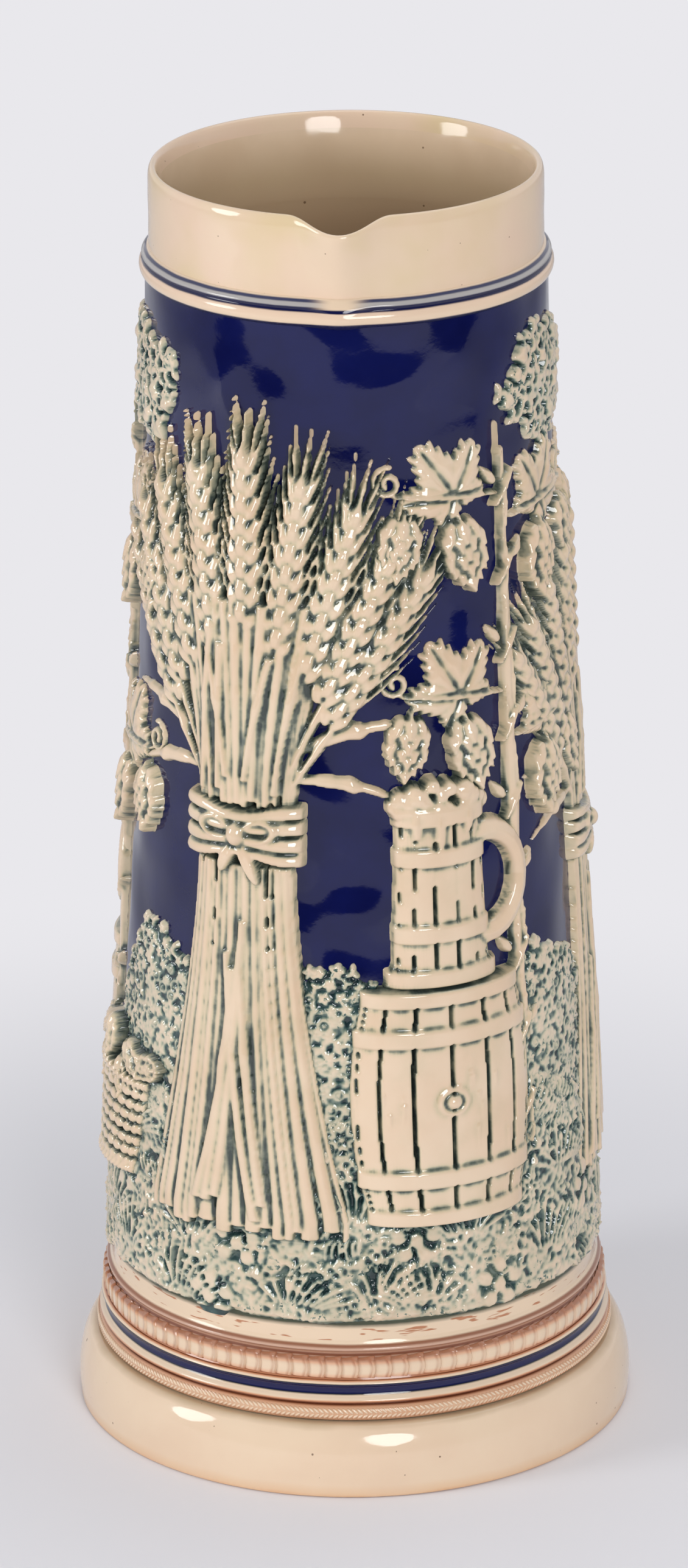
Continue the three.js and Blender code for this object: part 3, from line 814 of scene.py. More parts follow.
    def _cells(self, sheet: Sheet) -> tuple[Rows, Rows]:
        """Finds the row and the column of the panel's map under each point of a sheet."""
        level = sheet.flat[:, 1]
        radius = sheet.ring or FORM.radius(FORM.panel_bottom + level)
        turn = math.radians(sheet.angle) + sheet.flat[:, 0] / radius
        row = np.round((level + 4) / self.map_pitch).astype(int)
        column = np.round((turn / (2 * math.pi) * self.columns) % self.columns).astype(int)
        return np.clip(row, 0, self.rows - 1), column % self.columns

    def bend_all(self, finishes: dict[Slot, bpy.types.Material]) -> None:
        """Finds the wash of every sheet, trims what lies on the bare wall, and bends the sheets.

        Args:
            finishes: The material of each slot.
        """
        heights = np.zeros((self.rows, self.columns))
        for sheet in self.sheets:
            np.maximum.at(heights, self._cells(sheet), sheet.flat[:, 2])
        near, wide = (blurred(heights, reach / self.map_pitch) for reach in (1.3, 3.2))
        covered = blurred((heights > self.bare).astype(float), 1.5 / self.map_pitch)
        for sheet in self.sheets:
            cell = self._cells(sheet)
            _, level, own = sheet.flat.T
            inland = step_up(covered[cell], 0.62, 0.96)
            pool = step_up(sheet.fine, 0, 0.27) * (0.35 + 0.65 * inland)
            pool += 0.55 * step_up(near[cell] - own, 0.1, 1.0) * inland
            pool += 0.35 * step_up(wide[cell] - own, 0, 1.6) * inland
            shore = np.clip(1 - covered[cell], 0, 1)
            if sheet.ring:
                shore *= level > 8
                pool = np.maximum(pool, np.clip(1.3 - level, 0, 1) * (own < 1.75))
            mark(sheet.obj, "wash", np.clip(pool, 0, 1))
            mark(sheet.obj, "shore", shore)
            mark(sheet.obj, "rise", sheet.rise)
            self._trim(sheet)
            for piece in self._halves(sheet.obj) if sheet.ring else [sheet.obj]:
                finish_piece(piece, sheet.slot, [finishes[sheet.slot]], sheet.name, self.edge_sharp)

    def _halves(self, obj: Obj) -> list[Obj]:
        """Cuts a strip that goes all the way round into its front and its back half."""
        middles = np.zeros(len(obj.data.polygons) * 3)
        obj.data.polygons.foreach_get("center", middles)
        open_with(obj, "FACE", middles[1::3] < 0)
        bpy.ops.mesh.separate(type="SELECTED")
        bpy.ops.object.mode_set(mode="OBJECT")
        front = next(other for other in bpy.context.selected_objects if other != obj)
        front.name = f"{obj.name}_front"
        obj.name = f"{obj.name}_back"
        return [front, obj]

    def _trim(self, sheet: Sheet) -> None:
        """Cuts off the bare parts of a sheet, sinks its edge into the wall and bends it."""
        obj, flat, own = sheet.obj, sheet.flat.copy(), sheet.flat[:, 2]
        edges = np.zeros(len(obj.data.edges) * 2, np.int32)
        obj.data.edges.foreach_get("vertices", edges)
        near, far = edges.reshape(-1, 2).T
        keep = own > self.bare
        for _ in range(2):
            grown = keep.copy()
            np.logical_or.at(grown, near, keep[far])
            np.logical_or.at(grown, far, keep[near])
            keep = grown
        flat[:, 2] = own - self.sink * np.exp(-own / 0.3)
        if sheet.ring:
            half = math.pi * sheet.ring
            seam = np.abs(np.abs(flat[:, 0]) - half) < 1e-3
            flat[seam, 0] = np.sign(flat[seam, 0]) * half
        set_points(obj, FORM.wrap(flat, sheet.angle, sheet.ring))
        obj.vertex_groups.clear()
        open_with(obj, "VERT", ~keep)
        bpy.ops.mesh.delete(type="VERT")
        if sheet.ring:
            bpy.ops.mesh.select_all(action="SELECT")
            bpy.ops.mesh.remove_doubles(threshold=1e-6)
        bpy.ops.object.mode_set(mode="OBJECT")
        LOG.info("%s: kept %d of %d points", sheet.name, int(keep.sum()), len(flat))


@dataclass
class Motif:
    """One motif of the relief, and where it stands round the jug in degrees."""

    name: str
    angle: float

    def press(self, press: ReliefPress, bed: Bed) -> None:
        """Lays the motif's forms and presses its sheets.

        Args:
            press: The press.
            bed: An empty bed with the motif's own random numbers.
        """
        raise NotImplementedError


@dataclass
class Sheaf(Motif):
    """A bound sheaf of barley: the skirt of straw, the sash round it, and the crown with its ears."""

    scale: float
    foot: float = 30.0
    skirt: float = 84.0
    skirt_half_width: float = 27.0
    waist_half_width: float = 12.5
    sash: float = 15.0
    crown: float = 52.0
    crown_half_width: float = 21.0
    depth: float = 4.4
    ears: int = 9
    ear_fan: float = 32.0
    lanes: int = 17

    def press(self, press: ReliefPress, bed: Bed) -> None:
        """Presses the three sheets.

        Args:
            press: The press.
            bed: An empty bed.
        """
        waist = self.scale * self.waist_half_width
        spread = self.scale * self.skirt_half_width
        skirt = self.scale * self.skirt
        self._straw(bed, self.foot, skirt, lambda share: waist + (spread - waist) * (1 - share) ** 1.6)
        press.press(f"{self.name}_skirt", self.angle, bed)
        self._sash(bed, self.foot + skirt, waist)
        press.press(f"{self.name}_sash", self.angle, bed)
        self._crown(bed, self.foot + skirt + self.scale * self.sash + 0.6, waist)
        press.press(f"{self.name}_crown", self.angle, bed)

    def _straw(self, bed: Bed, level: float, tall: float, half: Callable) -> None:
        """Lays the straw of the skirt or the crown: broad bundles with a few stalks over them.

        Args:
            bed: Where it goes.
            level: Level of its foot.
            tall: Its height.
            half: Its half width at a share of the height.
        """

        def lane(across: float, wide: float, drift: float, lift: float) -> Bend:
            """Gives the bend of a straight stalk into its lane, which drifts across on its way up."""

            def bend(points: Rows) -> Rows:
                """Bends a stalk whose Y runs from 0 to 1."""
                x, share, z = points.T
                inside = np.clip(share, 0, 1)
                width = half(inside)
                middle = across + drift * (inside - 0.4)
                thick = width * wide
                crown = self.scale * self.depth * 0.92 * np.sqrt(np.clip(1 - (0.92 * middle) ** 2, 0.02, 1))
                x = middle * width * 0.95 + x * thick * 1.22
                return rows(x, level + share * tall, 0.35 + crown + lift + (z - 1.0) * thick * 0.95)

            return bend

        rng = bed.rng
        edges = np.cumsum(rng.uniform(0.6, 1.5, self.lanes + 1))
        edges = 2 * (edges - edges[0]) / (edges[-1] - edges[0]) - 1
        for near, far in zip(edges[:-1], edges[1:]):
            low = rng.uniform(-0.06, -0.02)
            lift = rng.uniform(-0.4, 0.3) * self.scale
            bend = lane((near + far) / 2, (far - near) / 2, rng.uniform(-0.05, 0.05), lift)
            bed.lay("strand", (0, low), (1, 1 - low, 1), bend=bend)
        for _ in range(5):
            bend = lane(rng.uniform(-0.75, 0.75), 0.055, rng.uniform(-0.6, 0.6), 0.75 * self.scale)
            bed.lay("stalk", (0, rng.uniform(0, 0.1)), (1.0, rng.uniform(0.6, 0.88), 1.1), bend=bend)

    def _sash(self, bed: Bed, level: float, waist: float) -> None:
        """Lays the sash: a folded cloth, a knot with two loops, and its loose ends.

        Args:
            bed: Where it goes.
            level: Level of its lower edge.
            waist: The sheaf's half width there.
        """
        sash = self.scale * self.sash
        depth = self.scale * self.depth
        middle = level + 0.5 * sash

        def over(points: Rows) -> Rows:
            """Bends a fold over the sheaf and gathers it under the knot."""
            share, up, z = points.T
            gather = 1 - 0.3 * bump(share, 0.5, 0.16)
            z = 0.5 + depth * 0.95 * np.sin(np.clip(np.pi * share, 0, np.pi)) ** 0.7 + z
            return rows(-1.13 * waist * np.cos(np.pi * share), middle + (up - middle) * gather, z)

        for share, thick in ((0.12, 0.12), (0.36, 0.14), (0.62, 0.13), (0.86, 0.12)):
            size = (thick * sash, 1.0, 1.5 * self.scale)
            bed.lay("strand", (0.0, level + share * sash), size, 90, -0.1, over)
        knot = self.scale * 5.6
        for side in (-1, 1):
            loop = (0.62 * knot, 0.4 * knot, 5.0)
            bed.lay("ring", (side * 0.85 * knot, middle + 0.16 * knot), loop, -side * 14, depth * 1.15)
            tail = (0.3 * knot, (1.15 + 0.2 * side) * knot, 2.2)
            bed.lay("leaflet", by((0, middle), side * 158, 0.95 * knot), tail, side * 158 + 180, depth * 1.1)
        bed.lay("dome", (0, middle), (0.36 * knot, 0.5 * knot, 2.8), 0, depth * 1.2)

    def _crown(self, bed: Bed, base: float, waist: float) -> None:
        """Lays the crown: fanned straw, long leaves and the ears.

        Args:
            bed: Where it goes.
            base: Level of its foot.
            waist: The sheaf's half width there.
        """
        spread = self.scale * self.crown_half_width
        crown = self.scale * self.crown
        self._straw(bed, base, crown * 0.86, lambda share: waist + (spread - waist) * share**1.4)
        for i in np.argsort(-np.abs(np.arange(self.ears) - (self.ears - 1) / 2)):
            tilt = self.ear_fan * (2 * i / (self.ears - 1) - 1)
            share = tilt / self.ear_fan
            at = (0.86 * spread * math.sin(share * math.pi / 2), base + crown * (0.72 - 0.4 * abs(share)))
            lift = (0.4 + 1.7 * (1 - abs(share))) * self.scale
            bed.lay("ear", at, (self.scale,) * 3, tilt, lift)
            back = (at[0] - 0.3 * crown * math.sin(math.radians(tilt)), at[1] - 0.3 * crown)
            bed.lay("stalk", back, (0.85 * self.scale, 0.42 * crown, 1.0), tilt, lift + 1.2)
        for side in (-1, 1):
            root = side * waist * 0.9

            def droop(points: Rows) -> Rows:
                """Lets a leaf hang down with its reach."""
                x, y, z = points.T
                return rows(x, y - 0.75 * crown * (np.abs(x - root) / crown) ** 2, z)

            for reach, lean, up in ((0.62, 58, 0.2), (0.5, 82, 0.08)):
                leaf = (2.0 * self.scale, reach * crown, 1.5)
                bed.lay("blade", (root, base + up * crown), leaf, side * lean, 0.9, droop)


@dataclass
class Cask(Motif):
    """An upright cask of staves and hoops, with a frothing tankard on it."""

    scale: float
    foot: float = 30.0
    height: float = 58.0
    half_width: float = 23.0
    depth: float = 5.0
    tankard_height: float = 44.0
    tankard_half_width: float = 13.0
    tankard_depth: float = 4.0
    tankard_ear: float = 10.0
    staves: int = 8
    tankard_staves: int = 7

    def press(self, press: ReliefPress, bed: Bed) -> None:
        """Presses the cask and the tankard.

        Args:
            press: The press.
            bed: An empty bed.
        """
        tall, depth, half = (self.scale * size for size in (self.height, self.depth, self.half_width))

        def swell(share: Any) -> Any:
            """Gives the cask's half width at a share of its height."""
            return half * (1 - 0.72 * (share - 0.5) ** 2)

        self._barrel(bed, self.foot, tall, depth, swell, self.staves, (0.035, 0.2, 0.8, 0.965))
        middle = self.foot + 0.52 * tall
        bed.lay("ring", (0, middle), (3.6, 3.6, 2.6), 0, 0.9 + depth)
        bed.lay("dome", (0, middle), (2.2, 2.2, 1.9), 0, 0.9 + depth)
        uniform = bed.rng.uniform
        for _ in range(12):
            at = (uniform(-0.7, 0.7) * half, self.foot + tall * uniform(0.26, 0.62))
            lift = 0.75 + depth * math.sqrt(1 - (at[0] / half) ** 2)
            bed.lay("blade", at, (0.7, uniform(6, 13), 0.85), uniform(-3, 3), lift)
        press.press(f"{self.name}_cask", self.angle, bed)
        self._tankard(bed, self.foot + tall)
        press.press(f"{self.name}_tankard", self.angle, bed)

    def _barrel(
        self,
        bed: Bed,
        level: float,
        tall: float,
        depth: float,
        half: Callable,
        staves: int,
        hoops: Sequence[float],
    ) -> None:
        """Lays staves and hoops as half of a barrel.

        Args:
            bed: Where they go.
            level: Level of the barrel's foot.
            tall: Its height.
            depth: How far it stands out.
            half: Its half width at a share of its height.
            staves: How many staves show.
            hoops: Shares of the height at which hoops lie.
        """
        for i in range(staves):
            middle = math.pi * (i + 0.5) / staves

            def stave(points: Rows) -> Rows:
                """Bends a bar into its place among the staves."""
                x, share, z = points.T
                turn = middle + x * 0.5 * math.pi / staves * 0.95
                out = 0.5 + depth * np.sin(turn) + z * 0.55
                return rows(-half(share) * np.cos(turn), level + share * tall, out)

            bed.lay("stave", bend=stave)
        for share in hoops:

            def hoop(points: Rows) -> Rows:
                """Bends a bar round the staves."""
                x, along, z = points.T
                turn = math.pi * along
                out = 0.5 + (depth + 1.0) * np.sin(turn) ** 0.9 + z * 0.5
                level_at = level + share * tall + x * 2.1 * self.scale
                return rows(-(half(share) + 0.5) * np.cos(turn), level_at, out)

            bed.lay("stave", bend=hoop)

    def _tankard(self, bed: Bed, level: float) -> None:
        """Lays the tankard with its ring handle and its froth, at a level."""
        tall = self.scale * self.tankard_height
        depth = self.scale * self.tankard_depth
        places = np.array([0, 0.12, 0.9, 1.0])
        widths = np.array([1.1, 0.92, 0.8, 0.86]) * self.scale * self.tankard_half_width

        def half(share: Any) -> Any:
            """Gives the tankard's half width at a share of its height."""
            return np.interp(share, places, widths)

        self._barrel(bed, level, tall, depth, half, self.tankard_staves, (0.05, 0.3, 0.72, 0.94))
        grip = self.scale * self.tankard_ear
        bed.lay("ring", (half(0.5), level + 0.52 * tall), (grip, 1.25 * grip, 1.2 * grip), 0, 0.8)
        uniform = bed.rng.uniform
        for _ in range(34):
            across = uniform(-1, 1)
            rise = math.sqrt(1 - across**2)
            up = uniform(0, 1) * rise
            size = uniform(1.5, 2.7) * self.scale
            at = (across * widths[-1] * 0.95, level + tall * (0.97 + 0.14 * up))
            bed.lay("petal", at, (size, size, size * 0.8), 0, 0.6 + 0.8 * depth * rise)
        for u, drop in ((-0.55, 5.0), (-0.1, 7.5), (0.5, 4.5)):
            at = (u * widths[-1], level + tall * 0.96 - drop * 0.5)
            bed.lay("petal", at, (1.7, drop, 1.4), 0, 0.9 + depth * math.sqrt(1 - u * u))


@dataclass
class Basket(Motif):
    """A basket heaped with hop cones."""

    foot: float = 30.0
    height: float = 30.0
    half_width: float = 22.0
    depth: float = 4.6

    def press(self, press: ReliefPress, bed: Bed) -> None:
        """Presses the basket and its heap.

        Args:
            press: The press.
            bed: An empty bed.
        """

        def over(points: Rows) -> Rows:
            """Bends the weave round the basket."""
            x, y, z = points.T
            turn = np.pi * np.clip(x, 0, 1)
            half = self.half_width * (0.72 + 0.28 * (y - self.foot) / self.height)
            return rows(-half * np.cos(turn), y, 0.5 + self.depth * np.sin(turn) + z)

        for row in range(7):
            v = self.foot + self.height * (row + 0.8) / 8.2
            for i in range(-1, 13):
                bed.lay("petal", ((i + 0.5 + 0.5 * (row % 2)) / 12, v), (0.052, 1.95, 0.95), 0, 0.1, over)
        for v, size in ((self.foot + 1.3, 1.5), (self.foot + self.height - 1.3, 1.8)):
            for i in range(22):
                bed.lay("grain", ((i + 0.5) / 22, v), (0.026, size * 1.35, 1.25), 0.7, 0.5, over)
        press.press(f"{self.name}_basket", self.angle, bed)
        level = self.foot + self.height
        uniform = bed.rng.uniform
        heap = ((-16, 3, 100), (-9, 7.5, 60), (0, 13, 8), (9, 8.5, -50))
        heap += ((16, 3.5, -95), (-4, 4, 15), (6, 3, -20))
        for u, v, tilt in heap:
            lift = 1.0 + 0.5 * self.depth * (1 - abs(u) / 22)
            bed.lay("hop_cone", (u, level + v), (0.62, 0.62, 0.95), tilt + uniform(-6, 6), lift)
        for u, tilt in ((-18, -50), (18, 48)):
            bed.lay("hop_leaf", (u, level + 4), (0.34, 0.34, 0.8), tilt, 0.4)
        for _ in range(22):
            u = uniform(-19, 19)
            at = (u, level + uniform(-1, 8) * (1 - abs(u) / 24))
            bed.lay("bract", at, (1.7, 2.4, 1.0), uniform(0, 360), 1.0)
        press.press(f"{self.name}_heap", self.angle, bed)


@dataclass
class HopPole(Motif):
    """A pole with a twining bine, and sprays of leaves and cones.

    Each spray has its share of the pole, its side and the lean of its leaf.
    """

    sprays: Sequence[tuple[float, int, float]]
    foot: float = 45.0
    length: float = 205.0
    width: float = 6.0
    leaf: float = 37.0

    def press(self, press: ReliefPress, bed: Bed) -> None:
        """Presses the pole and each spray.

        Args:
            press: The press.
            bed: An empty bed.
        """
        uniform = bed.rng.uniform

        def taper(points: Rows) -> Rows:
            """Narrows the pole on its way up."""
            x, y, z = points.T
            return rows(x * (1.1 - 0.3 * (y - self.foot) / self.length), y, z)

        bed.lay("withy", (0, self.foot), (self.width / 2, self.length, 2.6), 0, 0.6, taper)
        for _ in range(34):
            at = (uniform(-0.8, 0.8) * self.width / 2, self.foot + self.length * uniform(0, 0.96))
            bed.lay("blade", at, (0.75, uniform(8, 18), 0.8), uniform(-3, 3), 2.5, taper)
        for i in range(9):
            level = self.foot + self.length * (i + 0.3) / 9
            bed.lay("withy", (-self.width * 0.62, level), (1.0, self.width * 2.0, 1.1), 34, 2.9)
            side = 1 if i % 2 else -1
            bed.lay("leaflet", (side * self.width * 0.85, level + 9), (1.6, 3.6, 1.2), side * 40, 1.6)
        press.press(f"{self.name}_pole", self.angle, bed)
        for i, spray in enumerate(self.sprays):
            self._spray(bed, *spray)
            press.press(f"{self.name}_spray_{i + 1}", self.angle, bed)

    def _spray(self, bed: Bed, share: float, side: int, lean: float) -> None:
        """Lays one spray.

        Args:
            bed: Where it goes.
            share: Its place on the pole.
            side: -1 for the left, 1 for the right.
            lean: How far its leaf leans, in degrees.
        """
        level = self.foot + share * self.length
        reach = side * self.leaf
        out = side * (self.width / 2 + 0.36 * self.leaf)
        bed.lay("hop_leaf", (out, level), (1, 1, 1.15), side * lean, 0.7)
        bed.lay("hop_cone", (0.42 * reach, level - 0.2 * self.leaf), (1, 1, 1.1), side * 8, 1.6)
        bed.lay("hop_cone", (0.85 * reach, level - 0.13 * self.leaf), (0.9, 0.9, 1.05), -side * 10, 1.1)
        bed.lay("withy", (side * 2, level - 2), (0.8, self.leaf * 0.86, 1.0), side * 84, 2.3)
        for i in range(16):
            turn = i * 0.55
            curl = 4.6 - 0.24 * i
            at = (reach * 0.95 + side * curl * math.sin(turn), level + 5 + curl * math.cos(turn))
            bed.lay("petal", at, (0.75, 1.5, 0.8), side * (90 + math.degrees(turn)), 0.7)


@dataclass
class Foliage(Motif):
    """A cloud of leaves and florets with a lobed edge."""

    level: float
    width: float
    height: float
    open_leaves: bool = False

    def press(self, press: ReliefPress, bed: Bed) -> None:
        """Presses the cloud.

        Args:
            press: The press.
            bed: An empty bed.
        """
        rng = bed.rng

        def reach(turn: Any) -> Any:
            """Gives how far the cloud reaches in a direction, as a share of its size."""
            return 0.86 + 0.14 * np.abs(np.sin(2.5 * turn))

        def lobed(points: Rows) -> Rows:
            """Gives the cloud's cushion its lobed edge."""
            x, y, z = points.T
            grow = reach(np.arctan2(y / self.height, x / self.width)) * 0.95
            return rows(x * grow, y * grow + self.level, z)

        pitch = 4.6 if self.open_leaves else 4.1
        if not self.open_leaves:
            bed.lay("dome", size=(self.width / 2, self.height / 2, 1.5), bend=lobed)
        count = int(self.height / pitch / 0.87) + 2
        for row in range(count):
            for column in range(int(self.width / pitch) + 2):
                u = (column - (self.width / pitch + 1) / 2 + 0.5 * (row % 2)) * pitch + rng.normal(0, 0.55)
                v = (row - (count - 1) / 2) * pitch * 0.87 + rng.normal(0, 0.55)
                out = math.hypot(2 * u / self.width, 2 * v / self.height)
                chance, tilt, size = rng.uniform(), rng.uniform(0, 360), rng.uniform(0.85, 1.2)
                if out > reach(math.atan2(v / self.height, u / self.width)):
                    continue
                lift = 0.75 + 1.1 * math.sqrt(max(0.0, 1 - out**2)) + 0.35 * chance
                at = (u, self.level + v)
                if self.open_leaves:
                    kind, wide = ("trefoil", 3.5) if chance < 0.8 else ("leaflet", 2.8)
                elif chance < 0.55:
                    kind, wide = "floret", 2.15
                elif chance < 0.8:
                    kind, wide = "trefoil", 2.45
                else:
                    kind, wide = "ring", 1.5
                    bed.lay("petal", at, (0.55, 0.55, 0.8), 0, lift)
                bed.lay(kind, at, (wide * size, wide * size, 1.5), tilt, lift * 0.8)
        press.press(self.name, self.angle, bed, Slot.MEADOW, rough=0.0 if self.open_leaves else 0.25)


@dataclass
class Ground(Motif):
    """The strip of grassy ground round the foot of the relief."""

    drawn_radius: float = 71.5
    height: float = 60.0
    wave: float = 6.0

    def top(self, turn: Any) -> Any:
        """Gives the level of its upper edge at an angle in radians."""
        return self.height + self.wave * (np.sin(3 * turn) + 0.6 * np.cos(7 * turn))

    def press(self, press: ReliefPress, bed: Bed) -> None:
        """Presses the strip.

        Args:
            press: The press.
            bed: An empty bed.
        """
        rng = bed.rng
        half = math.pi * self.drawn_radius

        def spread(points: Rows) -> Rows:
            """Spreads the mat over the strip, between its wavy edges."""
            x, y, z = points.T
            turn = x * half * 1.02 / self.drawn_radius
            low = -0.2 + 0.35 * np.sin(9 * turn) + 0.25 * np.sin(23 * turn + 1)
            share = (y + 1) / 2
            return rows(x * half * 1.02, low + share * (self.top(turn) - low), 1.5 * z + 0.2 * share * z)

        bed.lay("mat", bend=spread)
        taken: list[Sequence[float]] = []

        def free(radius: float, low: float, high: float) -> Point | None:
            """Finds a free place between two levels, or none after 40 tries."""
            for _ in range(40):
                turn = rng.uniform(-math.pi, math.pi)
                x = turn * self.drawn_radius
                v = rng.uniform(low, min(high, float(self.top(turn)) - radius * 0.6))
                clear = (
                    math.hypot((x - a + half) % (2 * half) - half, v - b) > 0.8 * (radius + c)
                    for a, b, c in taken
                )
                if all(clear):
                    taken.append((x, v, radius))
                    return x, v
            return None

        plan = [(self._tuft, 9.5, 34), (self._round_leaves, 8.0, 20), (self._comb, 5.6, 34)]
        plan += [(self._rosette, 6.0, 14), (self._daisies, 4.2, 26)]
        for grow, radius, count in plan:
            for _ in range(count):
                at = free(radius, radius * 0.5, self.height + 2 * self.wave)
                if at:
                    grow(bed, at)
        for _ in range(260):
            turn = rng.uniform(-math.pi, math.pi)
            at = (turn * self.drawn_radius, rng.uniform(0.4, float(self.top(turn)) - 0.5))
            size = rng.uniform(0.7, 1.4)
            bed.lay("crumb", at, (size, size * 1.5, 0.6), rng.uniform(0, 360), 1.35)
        for points in bed.points[1:]:
            points[:, 1] = np.maximum(points[:, 1], 0.5)
        self._close_seam(bed, half)
        press.press(self.name, self.angle, bed, Slot.MEADOW, ring=self.drawn_radius, rough=0.62)

    def _close_seam(self, bed: Bed, half: float) -> None:
        """Repeats what lies near the seam on its other side, so that the strip closes."""
        for points, faces in list(zip(bed.points[1:], bed.faces[1:])):
            for side in (-1, 1):
                if (side * points[:, 0]).max() > half - 12:
                    bed.points.append(points - np.array([side * 2 * half, 0, 0]))
                    bed.faces.append(faces - int(faces.min()) + bed.count)
                    bed.count += len(points)

    def _tuft(self, bed: Bed, at: Point) -> None:
        """Lays a tuft of long blades that curve outward, more of them to one side."""
        lean = bed.rng.uniform(-18, 18)
        main = bed.rng.choice((-1, 1))
        bed.wells += [(at[0] + 1.5 * main, at[1] + 3.5, 6.2), (at[0] + 7.5 * main, at[1] + 3.0, 5.2)]
        for side in (-1, 1):
            count = 7 if side == main else 3
            for i in range(count):
                share = (i + 0.3) / count
                reach = bed.rng.uniform(13.0, 19.0) * (1 - 0.28 * share) * (1.0 if side == main else 0.75)
                root = (at[0] + side * 1.6 * i, at[1] - 2.4 - 0.25 * i)
                self._blade(bed, root, lean + side * 58 * share, reach, side * (0.008 + 0.022 * share))

    def _comb(self, bed: Bed, at: Point) -> None:
        """Lays short blades side by side, all bowed one way."""
        lean = bed.rng.uniform(-60, 60)
        side = bed.rng.choice((-1, 1))
        bed.wells.append((*at, 4.8))
        for i in range(6):
            root = by(by(at, lean + 90, 1.95 * (i - 2.5)), lean, -3.4)
            self._blade(bed, root, lean, bed.rng.uniform(5.8, 7.8), side * 0.055)

    def _blade(self, bed: Bed, root: Point, tilt: float, reach: float, curve: float) -> None:
        """Lays one blade of grass.

        Args:
            bed: Where it goes.
            root: Where it grows.
            tilt: How far it leans towards +X, in degrees.
            reach: Its length.
            curve: How much it sags to its side.
        """

        def sag(points: Rows) -> Rows:
            """Bows the blade to its side."""
            x, y, z = points.T
            across, along = polar(tilt, 1.0)
            off = curve * ((x - root[0]) * across + (y - root[1]) * along) ** 2
            return rows(x + off * along, y - off * across, z)

        bed.lay("crescent", root, (0.9, reach, 1.15), tilt, 1.5, sag)

    def _rosette(self, bed: Bed, at: Point) -> None:
        """Lays a rosette of grooved leaves."""
        count = int(bed.rng.integers(5, 7))
        first = bed.rng.uniform(0, 360)
        bed.wells.append((*at, 5.0))
        for i in range(count):
            tilt = first + 360 * i / count
            reach = bed.rng.uniform(2.9, 3.9)
            bed.lay("lobe", by(at, tilt, reach), (1.9, reach * 0.95, 1.4), tilt, 1.5)
        bed.lay("dome", at, (1.2, 1.2, 1.4), 0, 1.9)

    def _round_leaves(self, bed: Bed, at: Point) -> None:
        """Lays a cluster of large round leaves."""
        uniform = bed.rng.uniform
        bed.wells.append((*at, 7.6))

        def flatten(points: Rows) -> Rows:
            """Flattens the leaf's back."""
            x, y, z = points.T
            return rows(x, y, 1.3 + 1.3 * np.clip(z / 1.5 - 1, 0, 1) ** 0.45)

        for i in range(6):
            turn = 72 * i + uniform(-10, 10)
            size = (uniform(2.4, 2.9), uniform(3.1, 3.8), 1.5)
            bed.lay("leaflet", by(at, turn, 5.9 if i else 0.0), size, turn + uniform(-35, 35), 1.5, flatten)

    def _daisies(self, bed: Bed, at: Point) -> None:
        """Lays three small flowers."""
        for i in range(3):
            place = by(at, 120 * i + bed.rng.uniform(-25, 25), 2.5)
            size = bed.rng.uniform(1.8, 2.5)
            bed.lay("floret", place, (size, size, 1.5), bed.rng.uniform(0, 72), 1.4)


@dataclass
class Relief:
    """The whole relief in its layout round the jug."""

    motifs: Sequence[Motif] = (
        Sheaf("front", -28, 1.25),
        Sheaf("side", 90, 1.05),
        Sheaf("back", -150, 0.9),
        Cask("right", 23, 1.2),
        Cask("left", -114, 1.0),
        Basket("left", -76),
        HopPole("right", 46, ((0.91, 1, 30), (0.95, -1, 35), (0.6, 1, 25), (0.67, -1, 30))),
        HopPole("far", 129, ((0.91, -1, 35), (0.77, 1, 30), (0.58, -1, 25), (0.41, 1, 30))),
        HopPole("left", -95, ((0.865, 1, 30), (0.73, -1, 35), (0.545, 1, 25))),
    )
    boughs: Sequence[tuple[str, float]] = (
        ("bough_left", -78),
        ("bough_right", 70),
        ("bough_back_left", -138),
        ("bough_back_right", 148),
    )
    bushes: Sequence[tuple[str, float, float]] = (
        ("bush_front", -2, 1.2),
        ("bush_left", -56, 1.25),
        ("bush_right", 58, 1.15),
        ("bush_back_left", 162, 0.75),
        ("bush_back_right", 138, 1.0),
    )
    bough_level: float = 263.6
    bough_size: Point = (46.0, 36.0)
    bush_foot: float = 40.0
    bush_size: Point = (40.0, 56.0)

    def press(self, press: ReliefPress, box: FormBox) -> None:
        """Presses every sheet of the relief.

        Args:
            press: The press.
            box: The modelled forms.
        """
        Ground("ground_band", 0.0).press(press, Bed(box, 7))
        for i, motif in enumerate(self.motifs):
            motif.press(press, Bed(box, 20 + i))
        for i, (name, angle) in enumerate(self.boughs):
            cloud = Foliage(name, angle, self.bough_level, *self.bough_size, open_leaves=True)
            cloud.press(press, Bed(box, 40 + i))
        for i, (name, angle, scale) in enumerate(self.bushes):
            width, height = (scale * part for part in self.bush_size)
            cloud = Foliage(name, angle, self.bush_foot + height / 2, width, height)
            cloud.press(press, Bed(box, 60 + i))


# The finishes


class Wire:
    """An output of a node, with which sums are written in plain signs."""

    def __init__(self, bench: "NodeBench", socket: Socket) -> None:
        """Takes hold of an output on its bench."""
        self.bench = bench
        self.socket = socket

    def __mul__(self, other: Any) -> "Wire":
        """Adds a product."""
        return self.bench.math("MULTIPLY", self, other)

    def __add__(self, other: Any) -> "Wire":
        """Adds a sum."""
        return self.bench.math("ADD", self, other)

    def __sub__(self, other: Any) -> "Wire":
        """Adds a difference."""
        return self.bench.math("SUBTRACT", self, other)


